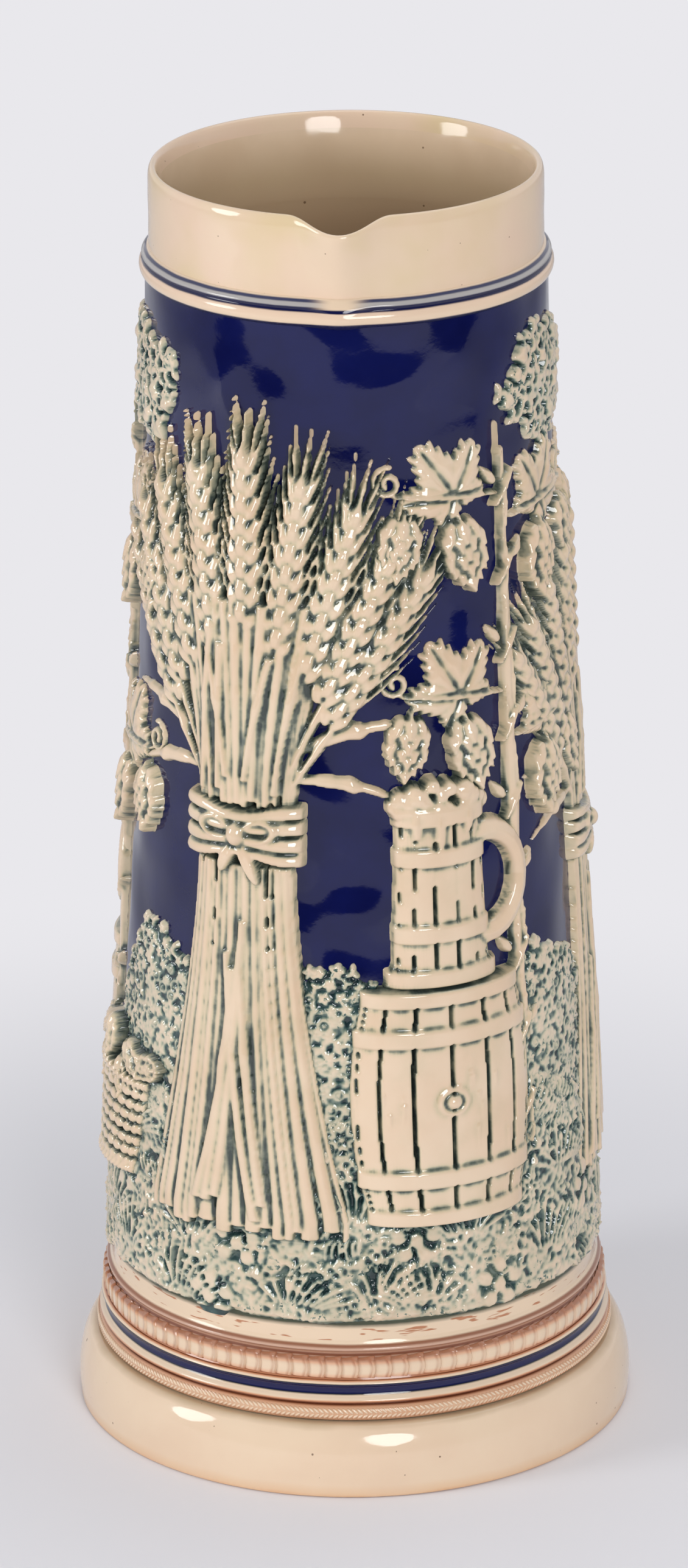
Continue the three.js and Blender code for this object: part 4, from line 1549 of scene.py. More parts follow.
class NodeBench:
    """Lays out the nodes of one tree."""

    def __init__(self, tree: bpy.types.NodeTree) -> None:
        """Starts on an empty tree."""
        self.tree = tree
        tree.nodes.clear()

    @cached_property
    def place(self) -> Wire:
        """The point's place in the object's own coordinates."""
        return self.wire("TexCoord", "Object")

    def add(self, kind: str, inputs: dict[str | int, Any] | None = None, **settings: Any) -> bpy.types.Node:
        """Adds one node.

        Args:
            kind: The node's type, without the word that all shader nodes share.
            inputs: For each socket's name or number, a value or an output to link.
            settings: The node's own settings.

        Returns:
            The node.
        """
        node = self.tree.nodes.new(f"ShaderNode{kind}")
        for key, value in settings.items():
            setattr(node, key, value)
        for key, value in (inputs or {}).items():
            if isinstance(value, Wire):
                self.tree.links.new(value.socket, node.inputs[key])
            else:
                node.inputs[key].default_value = value
        return node

    def wire(self, kind: str, output: str | int, inputs: Any = None, **settings: Any) -> Wire:
        """Adds one node and takes hold of one of its outputs."""
        return Wire(self, self.add(kind, inputs, **settings).outputs[output])

    def math(self, operation: str, a: Any, b: Any, clamp: bool = False) -> Wire:
        """Adds a sum of two numbers."""
        return self.wire("Math", 0, {0: a, 1: b}, operation=operation, use_clamp=clamp)

    def mix(self, share: Any, a: Any, b: Any) -> Wire:
        """Mixes two colours by a share."""
        pair = [value if isinstance(value, Wire) else (*value, 1.0) for value in (a, b)]
        return self.wire("Mix", 2, {0: share, 6: pair[0], 7: pair[1]}, data_type="RGBA")

    def smooth(self, value: Any, low: float, high: float) -> Wire:
        """Gives a soft step that runs from 0 at low to 1 at high."""
        inputs = {"Value": value, "From Min": low, "From Max": high}
        return self.wire("MapRange", "Result", inputs, interpolation_type="SMOOTHSTEP")

    def noise(self, scale: float, detail: float = 3.0, place: Wire | None = None) -> Wire:
        """Adds noise, at a scale per metre."""
        return self.wire("TexNoise", "Fac", {"Vector": place or self.place, "Scale": scale, "Detail": detail})

    def attribute(self, name: str) -> Wire:
        """Reads a number that the mesh keeps for each of its points."""
        return self.wire("Attribute", "Fac", attribute_name=name)

    def ramp(self, share: Any, stops: Sequence[tuple[float, Colour]]) -> Wire:
        """Adds a colour ramp.

        Args:
            share: What it reads.
            stops: Places and their colours.

        Returns:
            The ramp's colour.
        """
        node = self.add("ValToRGB", {"Fac": share})
        marks = node.color_ramp.elements
        while len(marks) < len(stops):
            marks.new(0.5)
        for stop, (place, colour) in zip(marks, stops):
            stop.position = place
            stop.color = (*colour, 1.0)
        return Wire(self, node.outputs["Color"])


class GroupBench(NodeBench):
    """Lays out a shader node group."""

    def __init__(self, name: str, **inputs: float) -> None:
        """Starts the group.

        Args:
            name: The group's name.
            inputs: Its inputs and their first values.
        """
        super().__init__(bpy.data.node_groups.new(name, "ShaderNodeTree"))
        for key, value in inputs.items():
            self._socket(key, "INPUT").default_value = value
        node = self.tree.nodes.new("NodeGroupInput")
        self.given = {key: Wire(self, node.outputs[key]) for key in inputs}

    def _socket(self, name: str, way: str) -> Any:
        """Adds an input or an output to the group."""
        return self.tree.interface.new_socket(name=name, in_out=way, socket_type="NodeSocketFloat")

    def close(self, **outputs: Wire) -> bpy.types.NodeTree:
        """Leads wires to the group's outputs.

        Args:
            outputs: The wire of each output.

        Returns:
            The group.
        """
        for key in outputs:
            self._socket(key, "OUTPUT")
        node = self.tree.nodes.new("NodeGroupOutput")
        for key, wire in outputs.items():
            self.tree.links.new(wire.socket, node.inputs[key])
        return self.tree


class GlazeGroups:
    """The effects that several glazes share, as node groups."""

    def __init__(self) -> None:
        """Builds every group once."""
        self.skin = self._skin()
        self.pool = self._pool()
        self.level = self._level()
        self.specks = self._specks()

    def _skin(self) -> bpy.types.NodeTree:
        """The glaze's own surface: soft waves, fine orange peel and a hand-dipped mottle."""
        bench = GroupBench("glaze_skin", Waves=1.0, Peel=1.0, Swell=3.0)
        waves = bench.noise(70, 1.5) * bench.given["Waves"]
        peel = bench.noise(620, 2.0) * bench.given["Peel"]
        swell = bench.noise(30, 1.0) * bench.given["Swell"]
        return bench.close(
            Height=waves * 0.8 + peel * 0.16 + swell,
            Mottle=bench.smooth(bench.noise(46, 5.0), 0.3, 0.72),
            Rough=bench.smooth(bench.noise(150), 0.35, 0.75),
        )

    def _pool(self) -> bpy.types.NodeTree:
        """Where the wash pools in the relief, broken up by the hand that wiped it."""
        bench = GroupBench("pooled_wash", Strength=1.0, Stain=0.3, Flecks=0.0)
        rise = bench.attribute("rise")
        wiped = bench.smooth(bench.noise(210, 4.0), 0.3, 0.7) * 0.5 + 0.72
        broken = bench.attribute("wash") * bench.given["Strength"] * wiped
        stain = bench.smooth(bench.noise(90, 5.0), 0.42, 0.8) * bench.given["Stain"]
        flecks = bench.smooth(bench.noise(680, 2.5), 0.55, 0.65) * bench.given["Flecks"]
        flecks = flecks * bench.smooth(bench.noise(120, 2.0), 0.36, 0.6)
        flecks = flecks * (bench.smooth(rise, 2.1, 1.85) * bench.smooth(rise, 1.2, 1.45))
        low = bench.smooth(rise + bench.noise(260, 2.0) * 0.5 - 0.62, 0.22, -0.06)
        return bench.close(
            Shade=bench.math("MAXIMUM", bench.math("ADD", broken, stain, clamp=True), flecks),
            Shore=low * bench.smooth(bench.attribute("shore"), 0.1, 0.4),
        )

    def _level(self) -> bpy.types.NodeTree:
        """A share of the way between two heights, with the waver of a painted line."""
        bench = GroupBench("painted_level", Low=0.0, High=1.0, Waver=0.0002)
        low, high, waver = bench.given.values()
        height = bench.wire("SeparateXYZ", "Z", {0: bench.place}) + (bench.noise(55, 4.0) - 0.5) * waver
        return bench.close(Share=bench.math("DIVIDE", height - low, high - low, clamp=True))

    def _specks(self) -> bpy.types.NodeTree:
        """Small iron specks and pinholes in the body."""
        bench = GroupBench("iron_specks", Spread=90.0, Size=0.05)
        cells = bench.add("TexVoronoi", {"Vector": bench.place, "Scale": bench.given["Spread"]})
        hue = {0: Wire(bench, cells.outputs["Color"])}
        size = bench.wire("SeparateColor", "Red", hue) * bench.given["Size"]
        dot = bench.math("LESS_THAN", Wire(bench, cells.outputs["Distance"]), size)
        rare = bench.math("GREATER_THAN", bench.wire("SeparateColor", "Green", hue), 0.72)
        return bench.close(Mask=dot * rare)


class Brush(NodeBench):
    """A material's bench, with the effects that glazes share."""

    def __init__(self, tree: bpy.types.NodeTree, groups: GlazeGroups, **skin: float) -> None:
        """Starts with the glaze's skin.

        Args:
            tree: The material's tree.
            groups: The shared node groups.
            skin: The values of the skin's inputs.
        """
        super().__init__(tree)
        self.groups = groups
        node = self.add("Group", skin, node_tree=groups.skin)
        self.height, self.mottle, self.rough = (Wire(self, output) for output in node.outputs)

    def speckled(self, colour: Wire, spread: float = 150.0) -> Wire:
        """Puts iron specks over a colour."""
        mask = self.wire("Group", "Mask", {"Spread": spread, "Size": 0.11}, node_tree=self.groups.specks)
        return self.mix(mask * 0.75, colour, IRON)

    def level(self, low: float, high: float, waver: float = 0.2) -> Wire:
        """Gives the share of the way between two heights in millimetres."""
        inputs = {"Low": low * MM, "High": high * MM, "Waver": waver * MM}
        return self.wire("Group", "Share", inputs, node_tree=self.groups.level)

    def bands(self, marks: Sequence[tuple[float, Colour]], waver: float) -> Wire:
        """Paints bands by height.

        Args:
            marks: Heights in millimetres, rising, and the colour at each.
            waver: How much a painted line wavers, in millimetres.

        Returns:
            The colour.
        """
        low, high = marks[0][0], marks[-1][0]
        share = self.level(low, high, waver)
        return self.ramp(share, [((place - low) / (high - low), colour) for place, colour in marks])


CREAM = srgb(232, 207, 179)
CREAM_PINK = srgb(232, 203, 178)
IRON = srgb(96, 66, 44)
COBALT_DEEP = srgb(10, 14, 62)
COBALT = srgb(15, 21, 76)
INK = srgb(30, 36, 42)
RUST = srgb(150, 84, 52)
RUST_DARK = srgb(104, 54, 34)
OLIVE = srgb(70, 74, 56)
LIGHT_RUST = srgb(206, 140, 100)


@dataclass(frozen=True)
class Glaze:
    """One glazed finish: what colours it and how its surface lies."""

    name: str
    roughness: float = 0.07
    peel: float = 1.0
    swell: float = 3.0
    bump: float = 0.12
    shine: float = 1.5

    def material(self, groups: GlazeGroups) -> bpy.types.Material:
        """Builds the material.

        Args:
            groups: The shared node groups.

        Returns:
            The material.
        """
        material = bpy.data.materials.new(self.name)
        material.use_nodes = True
        brush = Brush(material.node_tree, groups, Peel=self.peel, Swell=self.swell)
        bump = {"Strength": self.bump, "Distance": 0.0006, "Height": brush.height}
        rough = {"Value": brush.rough, "To Min": self.roughness, "To Max": self.roughness * 1.8}
        inputs = {
            "Base Color": self.colour(brush),
            "Roughness": brush.wire("MapRange", "Result", rough),
            "Normal": brush.wire("Bump", "Normal", bump),
            "IOR": self.shine,
        }
        brush.add("OutputMaterial", {"Surface": brush.wire("BsdfPrincipled", "BSDF", inputs)})
        return material

    def colour(self, brush: Brush) -> Wire:
        """Gives the colour of the plain cream body, with its mottle and its iron specks."""
        warm = brush.smooth(brush.noise(24), 0.42, 0.66) * 0.8
        body = brush.mix(warm, brush.mix(brush.mottle, CREAM, CREAM_PINK), srgb(221, 198, 155))
        return brush.speckled(brush.speckled(body), 380)


@dataclass(frozen=True)
class FootGlaze(Glaze):
    """The cream of the foot, toasted where it stood in the kiln, and darker at its top as painted shade under
    the bands.
    """

    def colour(self, brush: Brush) -> Wire:
        """Gives the foot's colour."""
        marks = [(0, srgb(216, 166, 124)), (1.2, srgb(226, 192, 156)), (4, CREAM), (19.5, CREAM)]
        # Painted shade: the darker tan at the foot's top, under the small band.
        marks += [(21, srgb(196, 172, 140))]
        body = brush.mix(brush.mottle * 0.35, brush.bands(marks, 2.0), srgb(222, 190, 162))
        return brush.speckled(brush.speckled(body, 120), 330)


@dataclass(frozen=True)
class InnerGlaze(Glaze):
    """The inside, a little greyer than the outside, and darker lower down as painted shade."""

    def colour(self, brush: Brush) -> Wire:
        """Gives the inside's colour."""
        # Painted shade: the inside and its floor darken from cream at the rim to tan lower down.
        marks = [(338, srgb(204, 178, 146)), (352, srgb(212, 188, 154)), (366, CREAM)]
        body = brush.mix(brush.mottle * 0.4, brush.bands(marks, 4.0), srgb(206, 178, 146))
        return brush.speckled(body, 260)


@dataclass(frozen=True)
class PanelGlaze(Glaze):
    """The blue panel, its painted lower edge and the cream ledge under it."""

    def colour(self, brush: Brush) -> Wire:
        """Gives the wall's colour."""
        squash = brush.wire("Mapping", "Vector", {"Vector": brush.place, "Scale": (0.13, 0.13, 1.0)})
        strokes = brush.smooth(brush.noise(860, 2.0, squash), 0.6, 0.66)
        ledge = brush.mix(strokes * 0.85, CREAM, srgb(178, 106, 64))
        painted = brush.mix(brush.level(48.1, 49.4, 1.3), ledge, OLIVE)
        return brush.mix(brush.level(51.4, 52.0, 0.9), painted, brush.mix(brush.mottle, COBALT_DEEP, COBALT))


@dataclass(frozen=True)
class BeadGlaze(Glaze):
    """The neck bead with its two blue lines, a painted highlight on the ridge between them, and the upper
    edge of the blue panel.
    """

    def colour(self, brush: Brush) -> Wire:
        """Gives the bead's colour."""
        # Painted highlight: pale is the pale grey on the ridge between the two blue lines.
        pale, dusk = srgb(176, 172, 170), srgb(52, 56, 88)
        marks = [(339.8, COBALT_DEEP), (340.3, COBALT_DEEP), (340.7, CREAM), (343.6, CREAM_PINK)]
        marks += [(343.9, COBALT_DEEP)]
        marks += [(345.1, COBALT_DEEP), (345.45, pale), (346.2, pale), (346.5, dusk), (346.95, dusk)]
        marks += [(347.3, CREAM)]
        cover = brush.smooth(brush.attribute("wash"), 0.05, 0.95) * brush.level(344.6, 345.0)
        return brush.mix(cover, brush.bands(marks, 0.5), CREAM)


@dataclass(frozen=True)
class ReliefGlaze(Glaze):
    """Cream relief with a dark wash in its recesses, and blue that creeps up its foot."""

    stain: float = 0.12
    strength: float = 1.0
    flecks: float = 0.0
    fade: float = 0.0
    stops: Sequence[tuple[float, Colour]] = (
        (0.0, CREAM),
        (0.3, srgb(212, 196, 164)),
        (0.55, srgb(156, 154, 132)),
        (0.8, srgb(98, 106, 94)),
        (1.0, srgb(60, 70, 66)),
    )

    def colour(self, brush: Brush) -> Wire:
        """Gives the relief's colour."""
        strength = brush.math("SUBTRACT", self.strength, brush.level(90, 60, 4.0) * self.fade)
        inputs = {"Strength": strength, "Stain": self.stain, "Flecks": self.flecks}
        pool = brush.add("Group", inputs, node_tree=brush.groups.pool)
        shade, shore = (Wire(brush, output) for output in pool.outputs)
        blend = {0: brush.mottle * 0.25, 6: brush.ramp(shade, self.stops), 7: (*CREAM_PINK, 1.0)}
        warmed = brush.wire("Mix", 2, blend, data_type="RGBA", blend_type="MULTIPLY")
        return brush.mix(shore, warmed, COBALT_DEEP)


@dataclass(frozen=True)
class RopeGlaze(Glaze):
    """A cream band with a brown wash in its grooves and lines painted by height, among them painted shadow
    under the scales and under the small band.
    """

    marks: Sequence[tuple[float, Colour]] = ()
    stain: Colour = RUST

    def colour(self, brush: Brush) -> Wire:
        """Gives the band's colour."""
        shade = brush.math("MULTIPLY", brush.attribute("wash"), brush.mottle * 0.4 + 0.75, clamp=True)
        return brush.mix(shade, brush.bands(self.marks, 0.35), self.stain)


@dataclass(frozen=True)
class StrapGlaze(Glaze):
    """Blue over the strap, with its ribs wiped back to cream."""

    def colour(self, brush: Brush) -> Wire:
        """Gives the strap's colour."""
        wiped = brush.smooth(brush.attribute("wash") + brush.mottle * 0.16, 0.5, 0.72)
        return brush.mix(wiped, brush.mix(brush.mottle, COBALT_DEEP, COBALT), CREAM)


class Finishes:
    """Every material of the jug."""

    def __init__(self) -> None:
        """Builds the materials."""
        g = GlazeGroups()
        self.collar = Glaze("cream_collar", 0.06).material(g)
        self.foot = FootGlaze("cream_foot", 0.06).material(g)
        self.inner = InnerGlaze("inner_glaze", 0.09).material(g)
        self.panel = PanelGlaze("cobalt_panel", 0.05, peel=0.5, swell=34.0, bump=0.25).material(g)
        self.bead = BeadGlaze("neck_bead_lines", 0.06).material(g)
        self.strap = StrapGlaze("cobalt_strap", 0.06).material(g)
        wet = {"bump": 0.08, "shine": 1.64}
        self.relief = ReliefGlaze("washed_relief", 0.045, **wet, strength=0.92).material(g)
        teal = (
            (0.0, srgb(229, 208, 182)),
            (0.25, srgb(198, 193, 168)),
            (0.5, srgb(124, 138, 124)),
            (0.75, srgb(56, 82, 80)),
            (1.0, srgb(28, 48, 50)),
        )
        wash = {"stain": 0.2, "strength": 0.96, "flecks": 0.7, "fade": 0.16, "stops": teal}
        self.meadow = ReliefGlaze("washed_meadow", 0.05, **wet, **wash).material(g)
        pink, tan, line = srgb(230, 182, 148), srgb(178, 132, 106), srgb(128, 78, 56)
        sand, umber = srgb(204, 166, 144), srgb(150, 100, 74)
        # Painted shadow: the dark brown at 33 mm, under the scales.
        rope = [(33.0, RUST_DARK), (33.5, LIGHT_RUST), (34.2, pink), (35.4, CREAM), (37.8, CREAM)]
        rope += [(38.6, pink)]
        rope += [(39.3, tan), (40.1, tan), (40.3, line), (40.8, line), (41.1, tan), (41.7, tan), (42.1, sand)]
        rope += [(42.6, sand), (43.0, umber), (43.35, umber), (43.8, CREAM)]
        self.rope = RopeGlaze("russet_rope", marks=rope, stain=srgb(172, 114, 84)).material(g)
        blue = srgb(14, 17, 70)
        groove = [(26.2, RUST_DARK), (26.9, RUST_DARK), (27.3, LIGHT_RUST), (27.7, CREAM), (28.6, CREAM)]
        groove += [(29.0, INK)]
        groove += [(29.4, blue), (31.9, blue), (32.3, INK), (32.5, CREAM), (32.8, CREAM), (33.1, LIGHT_RUST)]
        # Painted shadow: the dark brown at the top, under the scales.
        groove += [(33.3, RUST_DARK)]
        self.groove = RopeGlaze("blue_groove", 0.06, marks=groove).material(g)
        # Painted shadow: the dark grey at the foot of the small band, over the foot ring.
        bead = [(21.0, srgb(104, 98, 88)), (21.5, srgb(126, 92, 68)), (22.1, LIGHT_RUST), (23.0, CREAM)]
        bead += [(25.0, CREAM)]
        bead += [(25.6, LIGHT_RUST), (26.1, RUST_DARK)]
        self.bead_band = RopeGlaze("russet_bead", marks=bead, stain=srgb(210, 164, 130)).material(g)

    def by_slot(self) -> dict[Slot, bpy.types.Material]:
        """Gives the material of each slot of the relief."""
        return {Slot.RELIEF: self.relief, Slot.MEADOW: self.meadow}


# The turned pieces


@dataclass
class Body:
    """The floor, the wall and the foot."""

    floor_top: float = 9.5
    recess: float = 1.5
    foot_shoulder: float = 2.7
    foot_belly: float = 6.0

    def build(self, finishes: Finishes) -> None:
        """Turns the three pieces.

        Args:
            finishes: The jug's materials.
        """
        wall, top, low = FORM.wall_foot_radius, self.floor_top, self.recess
        slab = [(0, low), (30, low + 0.15), (60, low), (wall - 4.3, low), (wall - 4.3, 4.3), (wall, 4.3)]
        slab += [(wall, top), (60, top), (0, top)]
        finish_turned(turned_piece("floor_slab_turned", slab), Slot.CREAM, [finishes.inner], "floor_slab")
        levels = np.linspace(FORM.wall_bottom, FORM.wall_top, 30)
        outside = [(float(FORM.radius(z)), float(z)) for z in levels]
        inside = [(r - FORM.wall_thickness, z) for r, z in reversed(outside)]
        piece = turned_piece("body_wall_turned", outside + inside)
        inner_faces(piece, lambda middle, outward: outward < 0 or middle.z > FORM.wall_top - 0.1)
        finish_turned(piece, Slot.COBALT, [finishes.panel, finishes.inner], "body_wall")
        foot, height = FORM.foot_radius, FORM.foot_height
        above = float(FORM.radius(height))
        shoulder = above + self.foot_shoulder
        outline = [(wall - 4, 0.25), (wall - 3.2, 0), (foot - 1.0, 0), (foot - 0.35, 0.4)]
        for i in range(14):
            turn = math.radians(90 * i / 13)
            rise = self.foot_belly + (height - self.foot_belly) * math.sin(turn)
            outline.append((shoulder + (foot - shoulder) * math.cos(turn), rise))
        outline += [(above - 0.4, height), (wall + 0.3, 9.8), (wall + 0.3, 4), (wall - 4, 4)]
        finish_turned(turned_piece("foot_ring_turned", outline), Slot.CREAM, [finishes.foot], "foot_ring")


@dataclass
class Bands:
    """The three bands between the foot and the ledge."""

    cups: int = 96
    strands: int = 340
    bend_radius: float = 73.0

    def build(self, finishes: Finishes) -> None:
        """Turns and dresses the bands.

        Args:
            finishes: The jug's materials.
        """
        beads = [(73.2, 21.0), (73.6, 21.3), (74.3, 21.9), (74.7, 22.8), (74.85, 23.7), (74.7, 24.6)]
        beads += [(74.3, 25.4)]
        beads += [(73.6, 25.9), (73.3, 26.2)]
        band = self._round(self._base("bead_band_roped", beads), (21.8, 25.6), *self._strand())
        finish_turned(band, Slot.RUSSET, [finishes.bead_band], "bead_band")
        groove = [(73.2, 26.1), (73.7, 26.4), (74.15, 26.9), (74.2, 27.4), (73.9, 27.9), (73.3, 28.3)]
        groove += [(72.8, 28.8)]
        groove += [(72.6, 29.8), (72.65, 30.8), (72.9, 31.3), (73.3, 31.7), (73.6, 32.1), (73.5, 32.6)]
        groove += [(73.0, 33.0)]
        groove += [(72.4, 33.3)]
        plain = self._base("groove_band_turned", groove)
        mark(plain, "wash", np.zeros(len(plain.data.vertices)))
        finish_turned(plain, Slot.COBALT, [finishes.groove], "groove_band")
        rope = [(72.3, 33.2), (72.1, 33.7), (71.7, 34.4), (71.6, 36.2), (71.5, 38.0), (71.45, 39.2)]
        rope += [(71.35, 40.0)]
        rope += [(71.2, 40.7), (71.1, 41.2), (71.25, 41.6), (71.6, 41.9), (71.85, 42.15), (71.9, 42.4)]
        rope += [(71.7, 42.8)]
        rope += [(71.3, 43.1), (71.05, 43.35), (70.8, 43.7), (70.6, 44.1), (70.4, 44.8)]
        scaled = self._round(self._base("rope_band_scaled", rope), (33.6, 40.0), *self._cup())
        finish_turned(scaled, Slot.RUSSET, [finishes.rope], "rope_band")

    def _base(self, name: str, outline: Sequence[Point]) -> Obj:
        """Turns the plain section of a band, closed inside the wall."""
        inner = float(FORM.radius(outline[0][1])) - 2.0
        return turned_piece(name, [*outline, (inner, outline[-1][1]), (inner, outline[0][1])])

    def _round(self, base: Obj, stained: Point, unit: Form, wash: Rows, count: int) -> Obj:
        """Copies a modelled unit round a band and joins the copies to it.

        Args:
            base: The band's plain section.
            stained: The two heights between which the wash fills the section.
            unit: One unit, placed at the angle 0 in X (along), Y (out) and Z (up).
            wash: How much wash lies on each of its points.
            count: How many go round.

        Returns:
            The band.
        """
        x, out, z = unit.points.T
        turns = [2 * math.pi * i / count + x / self.bend_radius for i in range(count)]
        points = np.concatenate([round_axis(out, turn, z) for turn in turns])
        faces = np.concatenate([unit.faces + i * len(x) for i in range(count)])
        ring = mesh_object("units", Form(points, faces))
        mark(ring, "wash", np.tile(wash, count))
        levels = points_of(base)[:, 2]
        mark(base, "wash", (levels > stained[0]) & (levels < stained[1]))
        only(base)
        ring.select_set(True)
        bpy.ops.object.join()
        return base

    def _cup(self) -> tuple[Form, Rows, int]:
        """Models one scale of the large band: a swelling that ends in a raised, bowed rim."""
        pitch = 2 * math.pi * self.bend_radius / self.cups
        grid = {"x_subdivisions": 17, "y_subdivisions": 15, "size": 1.0}
        form = lift_form(Workpiece("cup", bpy.ops.mesh.primitive_grid_add, **grid))
        along = form.points[:, 0] + 0.5
        up = form.points[:, 1] * 2
        high = np.abs(up)
        bow = 0.34 * (1 - high**2.2) * along**0.8
        arch = np.clip(1 - high**7, 0, 1) ** 0.6
        end = 1 - step_up(along, 0.94, 1)
        edge = np.maximum(bump(along, 0.87, 0.055), 0.75 * bump(high, 0.86, 0.1) * step_up(along, 0.15, 0.45))
        swell = 0.3 + 0.62 * step_up(along, 0, 0.35)
        swell += 0.3 * (1 - high**2) * np.sin(np.pi * np.clip(along, 0, 1))
        cusp = high**5 * step_up(along, 0.5, 0.9)
        x = (along * 1.14 - 0.1 + bow + 0.2 * cusp) * pitch
        z = 36.75 + up * (2.95 + 0.25 * along) + np.where(up > 0, 0.4, -0.15) * cusp
        points = rows(x, 71.55 + arch * end * (swell + 0.5 * edge), z)
        wash = 0.8 * bump(along, 0.75, 0.055) * (0.45 + 0.55 * high)
        wash += (1 - step_up(along, 0, 0.34)) * (0.25 + 0.75 * high) + 0.36 * edge
        wash += 0.4 * step_up(up, 0.15, 0.75) * (1 - edge) + step_up(high, 0.93, 1) + step_up(along, 0.93, 1)
        return Form(points, form.faces[:, ::-1]), np.clip(wash, 0, 1), self.cups

    def _strand(self) -> tuple[Form, Rows, int]:
        """Models one pair of strands of the small band, which lean together like a plait."""
        form = puff(taper=0.8, segments=7, rings=5)
        points = []
        for side in (-1, 1):
            turn = math.radians(48 * side)
            x, y, out = (form.points * (0.42, 1.2, 0.42)).T
            along = x * math.cos(turn) - y * math.sin(turn)
            up = y * math.cos(turn) + x * math.sin(turn) + side * 0.88
            points.append(rows(along, 74.68 - 0.075 * up**2 + out, 23.75 + up))
        faces = form.faces[:, ::-1]
        pair = Form(np.concatenate(points), np.concatenate([faces, faces + len(form.points)]))
        return pair, np.tile(np.clip(0.75 - 1.3 * form.points[:, 2], 0, 0.8), 2), self.strands


@dataclass
class Neck:
    """The collar with its pulled lip, and the bead under it."""

    thickness: float = 4.3
    lip_turn: float = -2.0
    lip_half_angle: float = 15.5
    lip_reach: float = 7.0
    lip_drop: float = 3.3
    keel: float = 1.5
    start: float = 347.7
    bead_foot: float = 339.5

    def build(self, finishes: Finishes) -> None:
        """Turns both pieces and pulls the lip.

        Args:
            finishes: The jug's materials.
        """
        rim = [(0, 346.0), (0, 347.5), *[(0.05 * math.sin(i), 347.5 + 1.8 * i) for i in range(1, 9)]]
        rim += [(0, 364), (0, 366.6), (-0.08, 367.9), (-0.28, 368.9), (-0.6, 369.6), (-1.0, 369.95)]
        rim += [(-1.4, 370)]
        rim += [(-1.85, 369.85), (-2.25, 369.4), (-2.6, 368.5), (-3.0, 367), (-3.35, 365.4), (-3.7, 363.4)]
        rim += [(-4.0, 361), (-4.2, 358), (-self.thickness, 354), (-self.thickness, 349)]
        outline = [(FORM.collar_radius + out, z) for out, z in rim]
        outline += [(50.42, 347), (50.42, 345), (50.75, 345), (50.75, 346.0)]
        collar = turned_piece("neck_collar_turned", outline, NECK_STEPS)
        self._draw_lip(collar)
        brim = FORM.height - 4
        inner_faces(collar, lambda at, outward: outward < -0.5 * math.hypot(at.x, at.y) and at.z < brim)
        finish_turned(collar, Slot.CREAM, [finishes.collar, finishes.inner], "neck_collar")
        bead = [(56.4, 339.5), (56.75, 339.9), (57.15, 340.3), (57.5, 341.0), (57.7, 342.0), (57.6, 342.9)]
        bead += [(57.2, 343.6), (56.75, 344.0), (56.6, 344.35), (56.75, 344.7), (56.95, 345.1)]
        bead += [(56.95, 345.5)]
        bead += [(56.75, 345.9), (56.3, 346.3), (55.75, 346.8), (55.5, 347.1), (55.35, 347.4), (54.6, 347.6)]
        bead += [(54.6, 346.0), (55.6, 345.9), (55.6, 339.5)]
        ring = turned_piece("neck_bead_turned", bead, NECK_STEPS)
        self._fill_keel(ring)
        finish_turned(ring, Slot.CREAM, [finishes.bead], "neck_bead")

    def _pull(self, points: Rows) -> Rows:
        """Gives how much of the lip's pull each point feels."""
        angle = np.degrees(np.arctan2(points[:, 0], -points[:, 1])) - self.lip_turn
        return 0.5 + 0.5 * np.cos(np.clip(np.abs(angle) / self.lip_half_angle, 0, 1) * np.pi)

    def _draw_lip(self, piece: Obj) -> None:
        """Pulls the front of the collar forward and down, as a thumb does."""
        points = points_of(piece)
        radius = np.hypot(points[:, 0], points[:, 1])
        pull = self._pull(points)
        up = step_up(points[:, 2], self.start, FORM.height)
        ridge = pull**2.2 * self.keel * (1 - up) * np.clip((points[:, 2] - 339) / 6, 0, 1)
        points[:, 2] -= self.lip_drop * pull * up
        points[:, :2] *= ((radius + self.lip_reach * pull * up**1.3 + ridge) / radius)[:, None]
        set_points(piece, points)

    def _fill_keel(self, ring: Obj) -> None:
        """Swells the bead where the keel of the lip runs into it, and smooths its lines away."""
        points = points_of(ring)
        radius = np.hypot(points[:, 0], points[:, 1])
        pull = self._pull(points) ** 2.2
        outside = radius > 55.9
        up = step_up(points[:, 2], self.bead_foot, self.bead_foot + 7)
        even = 57.6 - 2.2 * step_up(points[:, 2], 343, 348)
        fill = pull * np.where(outside, 0.85 * (even - radius) * np.clip((up - 0.4) * 3, 0, 1), 0)
        grown = radius + fill + pull * self.keel * np.clip(up * 1.4, 0, 1)
        points[:, :2] *= (grown / radius)[:, None]
        points[:, 2] -= 0.7 * pull * outside
        set_points(ring, points)
        mark(ring, "wash", pull)


